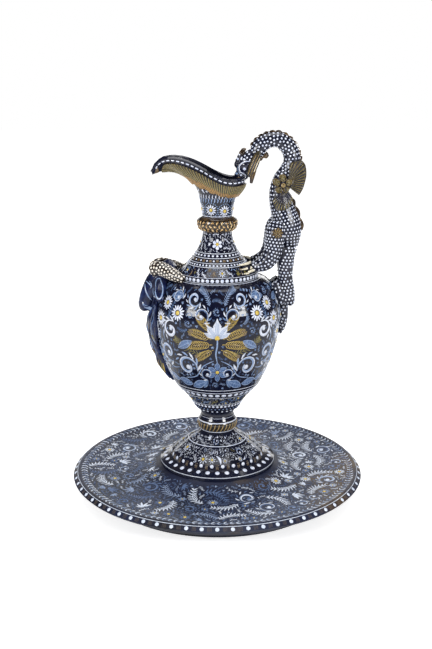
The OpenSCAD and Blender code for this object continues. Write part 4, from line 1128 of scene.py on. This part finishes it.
BROW = [(35, 376.6), (29, 376), (24, 371.6), (24.4, 365.8), (28.6, 363.4)]
FACE = (
    (white, BROW, [0.4, 1.1, 1.3, 1, 0.4], 0.4, 4, 0.55),
    (pale, [(21.6, 371), (22.2, 366), (25, 361.6)], [0.3, 0.7, 0.3], 0.3, 3, 0),
    (white, [(23.6, 364.4), (27.4, 363.6), (30.4, 361.2), (29.6, 358.6)], [0.4, 1.1, 1, 0.5], 0.4, 4, 0),
    (dark, [(22, 361), (25.4, 359.6), (28.6, 360.2)], [0.4, 0.8, 0.4], 0.2, 3, 0))
EAR_LINE = (31.6, 359.5), (34.2, 367.5), (37.4, 375.5), (41.2, 383.5)
PETAL = [(0.34, 0), (0.52, 0.28), (0.86, 0.38), (1.1, 0.22), (1.16, 0), (1.1, -0.22), (0.86, -0.38), (0.52, -0.28)]
BOSS = (64.2, 302.2)
for near in (True, False):
    tag = "near" if near else "far"
    face = flank(dragon_skin, near)
    dark.dot(face, 28.5, 369.5, 6.2, 0.6, 16, tall=0.9)
    paint(face, FACE)
    white.dot(face, 28.9, 368.6, 1.6, 0.8, 12, 0.55)
    white.dot(face, 25.2, 361.6, 1.0, 0.5)
    pale.dot(face, 20.6, 363.2, 1.4, 0.4, tall=0.8)
    brown.leaf(placed(face, 22.8, 358.9, 0, 3.2), [(-0.8, 0), (0, 0.4), (0.9, 0.1), (0.2, -0.4)], 0.4)
    for x in (22, 25.5, 29):
        white.dot(face, x, 378.4, 1, 0.4)
    ear = flank(node_skin("ear_" + tag), near)
    for shift, slip in ((0, amber), (1.5, dark), (2.9, amber), (4.3, dark), (5.6, cream), (6.9, dark)):
        slip.stroke(ear, [(x + shift, z) for x, z in EAR_LINE], [0.5, 0.9, 0.9, 0.5], 0.35)
    fan_ribs(flank(node_skin("wing_" + tag), near), WING)
    fan_ribs(flank(node_skin("shell_" + tag), near), SHELL)
    rose = flank(Skin(*[frame["nodes"][part + tag] for part in ("rosette_", "wing_", "shell_")], dragon), near)
    dark.dot(rose, ROSETTE_X, HUB_Z, ROSETTE_R + 1.2, 0.2, 20, 0.1)
    for k in range(PETALS):
        own = placed(rose, ROSETTE_X, HUB_Z, 90 + 360 * k / PETALS, ROSETTE_R)
        clay_gold.leaf(own, PETAL, 1.5)
        amber.stroke(own, PETAL[1:], [0.03, 0.09, 0.1, 0.09, 0.03], 0.4, 3, 0.5)
        dark.stroke(own, [(0.34, -0.42), (0.7, -0.52), (1.04, -0.46)], [0.05, 0.16, 0.1], 0.6, 3)
        dark.dot(own, 0.62, 0, 0.1, 0.3, 8, 1.5, tall=0.7)
    dark.dot(rose, ROSETTE_X, HUB_Z, 3.4, 0.6, 12, 0.4)
    amber.dot(rose, ROSETTE_X, HUB_Z, 2.3, 1.4, 10, 0.4)
    boss = flank(node_skin("boss_" + tag), near)
    for turn in range(0, 360, 40):
        own = placed(boss, *BOSS, turn, 6.3)
        amber.stroke(own, [(0.16, 0.02), (0.45, 0.1), (0.86, 0.02)], [0.08, 0.2, 0.12], 0.6, 3)
        dark.stroke(own, [(0.2, 0.16), (0.5, 0.3), (0.84, 0.3)], [0.03, 0.08, 0.06], 0.15, 3)

# ---------------------------------------------------------------- the ram's face and the drape
ram_skin = Skin(ram)
EYE_RING = [(-65.9, 249.6), (-62.7, 250.6), (-59.4, 246.3), (-58.6, 239.7), (-60.4, 234.2), (-64, 233), (-66.4, 238),
            (-67.2, 245), (-65.9, 249.6)]
RAM_FACE = (
    (pale, EYE_RING, [1.2, 1.4, 1.1, 1.5, 1.8, 1.6, 1.3, 1.2, 1.2], 0.6, 4, 0),
    (white, [(-65, 234.2), (-62, 232.6), (-59.8, 235)], [0.3, 0.8, 0.3], 0.3, 4, 0.5),
    (pale, [(-78.4, 246), (-75.5, 244.6), (-72.3, 241.4), (-73.6, 238.6)], [0.5, 1.2, 1.3, 0.5], 0.4, 4, 0),
    (pale, [(-74.4, 247), (-72, 244), (-71.6, 241)], [0.3, 1, 0.4], 0.35, 4, 0),
    (pale, [(-79.6, 243), (-78.4, 236), (-75.6, 230), (-72, 225)], [0.5, 1.6, 1.5, 0.6], 0.4, 4, 0),
    (white, [(-79.2, 240), (-78.2, 236), (-76.6, 232.4)], [0.3, 0.7, 0.3], 0.3, 4, 0.3),
    (pale, [(-70, 240), (-70.2, 234), (-68.6, 228)], [0.3, 0.9, 0.3], 0.3, 4, 0),
    (pale, [(-83, 224), (-80, 219.6), (-76.6, 219)], [0.3, 0.9, 0.4], 0.3, 4, 0))
for near in (True, False):
    side = flank(ram_skin, near)
    paint(side, RAM_FACE)
    dark.leaf(placed(side, -63, 241.5, 94, 6.2), [(-0.9, 0), (0, 0.28), (0.9, 0), (0, -0.28)], 0.3)
    white.dot(side, -69, 229.6, 0.9, 0.6)
    white.dot(side, -81.8, 222, 0.9, 0.5)
drape_belt = belt(ram_skin, 70, 180)
for k in range(15):
    u = 3.6 * (k - 7)
    line = [(u, 222), (u + 0.8, 206), (u * 0.9 - 0.6, 190), (u * 0.8 + 0.6, 174), (u * 0.66, 160)]
    (pale, blue, dark)[k % 3].stroke(drape_belt, line, [0.5, 1.2, 0.8, 1.2, 0.4], 0.3, 5)
for k in range(11):
    u = 2.4 * (k - 5)
    line = [(u, 157), (u * 0.7 + 0.4, 148), (u * 0.4, 140)]
    (olive, gold, brown)[k % 3].stroke(drape_belt, line, [0.5, 1.4, 0.5], 0.35)
for u, v, turn, size, slip in ((-9, 197, 80, 9, brown), (9, 197, 100, 9, brown), (0, 203, 90, 9, brown),
                               (-17, 184, 70, 8, olive), (17, 184, 110, 8, olive), (-4, 176, 90, 7, olive),
                               (5, 166, 90, 7, brown)):
    slip.leaf(placed(drape_belt, u, v, turn, size),
              [(-0.5, 0), (-0.1, 0.24), (0.5, 0.1), (0.45, -0.2), (-0.1, -0.26)], 0.35, 0.2)

# ---------------------------------------------------------------- lip: its leaf band and rim
LIP_BACK, BEAK, LIP_HALF, SPOUT_Z, LIP_RISE, ROLL, THROAT = 30, 70, 26.3, 334.3, 47.2, 2.6, 18.7
RIM_RISE = [0.544, 0.54, 0.533, 0.522, 0.52, 0.56, 0.66, 0.81, 0.94, 1, 0.96, 0.81, 0.63]


def towards_beak(u):
    """How far round towards the beak an angle lies: 0 at the dragon, 1 at the beak."""
    return (1 - math.cos(math.radians(u))) / 2


def lip_edge(u):
    """The rim at an angle round the lip, in mm."""
    beak = towards_beak(u)
    f = abs(360 - u if u > 180 else u) / 180
    c, s = polar(1, u)
    return Vector((LIP_BACK * c - (BEAK - LIP_BACK) * beak ** 3, LIP_HALF * s * (1 - 0.35 * beak ** 2),
                   SPOUT_Z + LIP_RISE * curve([[r] for r in RIM_RISE], f)[0] - ROLL))


def lip_point(u, s):
    """The CAD model's own surface of the lip: from the throat (s = 0) to the rim (s = 1) at an angle round it."""
    beak = towards_beak(u)
    tip = beak ** 14
    a = Vector((*polar(THROAT, u), SPOUT_Z))
    b = Vector((a.x * 1.13, a.y * 1.13, SPOUT_Z + LIP_RISE * (0.19 + 0.31 * beak ** 2)))
    e = lip_edge(u)
    c = e + LIP_RISE * Vector((0.53 * tip, 0, -0.27 + (0.27 + 0.27) * tip))
    r = 1 - s
    return a * r ** 3 + b * 3 * s * r * r + c * 3 * s * s * r + e * s ** 3


def lip_spot(u, s, out):
    """A place that many mm off the lip's surface, and the normal there."""
    across = lip_point(u + 1, s) - lip_point(u - 1, s)
    up = lip_point(u, min(s + 0.01, 1)) - lip_point(u, max(s - 0.01, 0))
    normal = across.cross(up).normalized()
    return (lip_point(u, s) + normal * out) * MM, normal


BAND_OUT, BAND_TOP, BAND_RIBS = 1.75, 0.86, 96
rib_amber = Slip("leaf_band_amber", "ewer", "olive_gold_glaze", "80602e a27c44 604420")
rib_dark = Slip("leaf_band_dark", "ewer", "olive_gold_glaze", "1d1a18 2c2620")
for k in range(BAND_RIBS):
    u = 360 * (k + 0.5) / BAND_RIBS
    low = 0.3 + 0.12 * towards_beak(u) ** 2 - 0.07 * abs(math.sin(math.radians(u * 8)))
    spots = [lip_spot(u, low + (BAND_TOP - low) * t / 8, BAND_OUT + 0.1) for t in range(9)]
    rib_gold.ribbon(spots[2:], [1.2, 1.0, 0.9], 0.3)
    rib_amber.ribbon(spots[:4], [0.9, 1.5, 1.2], 0.4)
    if k % 2:
        gap = 360 * (k + 1) / BAND_RIBS
        rib_dark.ribbon([lip_spot(gap, low + (BAND_TOP - low) * t / 6, BAND_OUT + 0.16) for t in range(1, 7)],
                        [0.5, 0.9, 1.0], 0.14)
TIP_HALF, DASH_PITCH, DASH_LENGTH, RIM_STEPS = 12, 5.6, 3.9, 720
brown.ribbon([lip_spot(180 + TIP_HALF * t / 10, 0.93, 0.15) for t in range(-10, 11)], [0.6, 3.6, 4.4, 3.6, 0.6], 0.5)
edge = [lip_spot(360 * k / RIM_STEPS, 0.955, 0.1) for k in range(RIM_STEPS)]
length, dash = 0.0, []
for k in range(RIM_STEPS):
    length += (edge[k][0] - edge[k - 1][0]).length / MM
    if length % DASH_PITCH < DASH_LENGTH and abs(360 * k / RIM_STEPS - 180) > 0.75 * TIP_HALF:
        dash.append(edge[k])
    else:
        if len(dash) > 1:
            white.ribbon(dash, [1.1, 1.5, 1.1], 0.4)
        dash = []

for slip in Slip.made:
    slip.make()
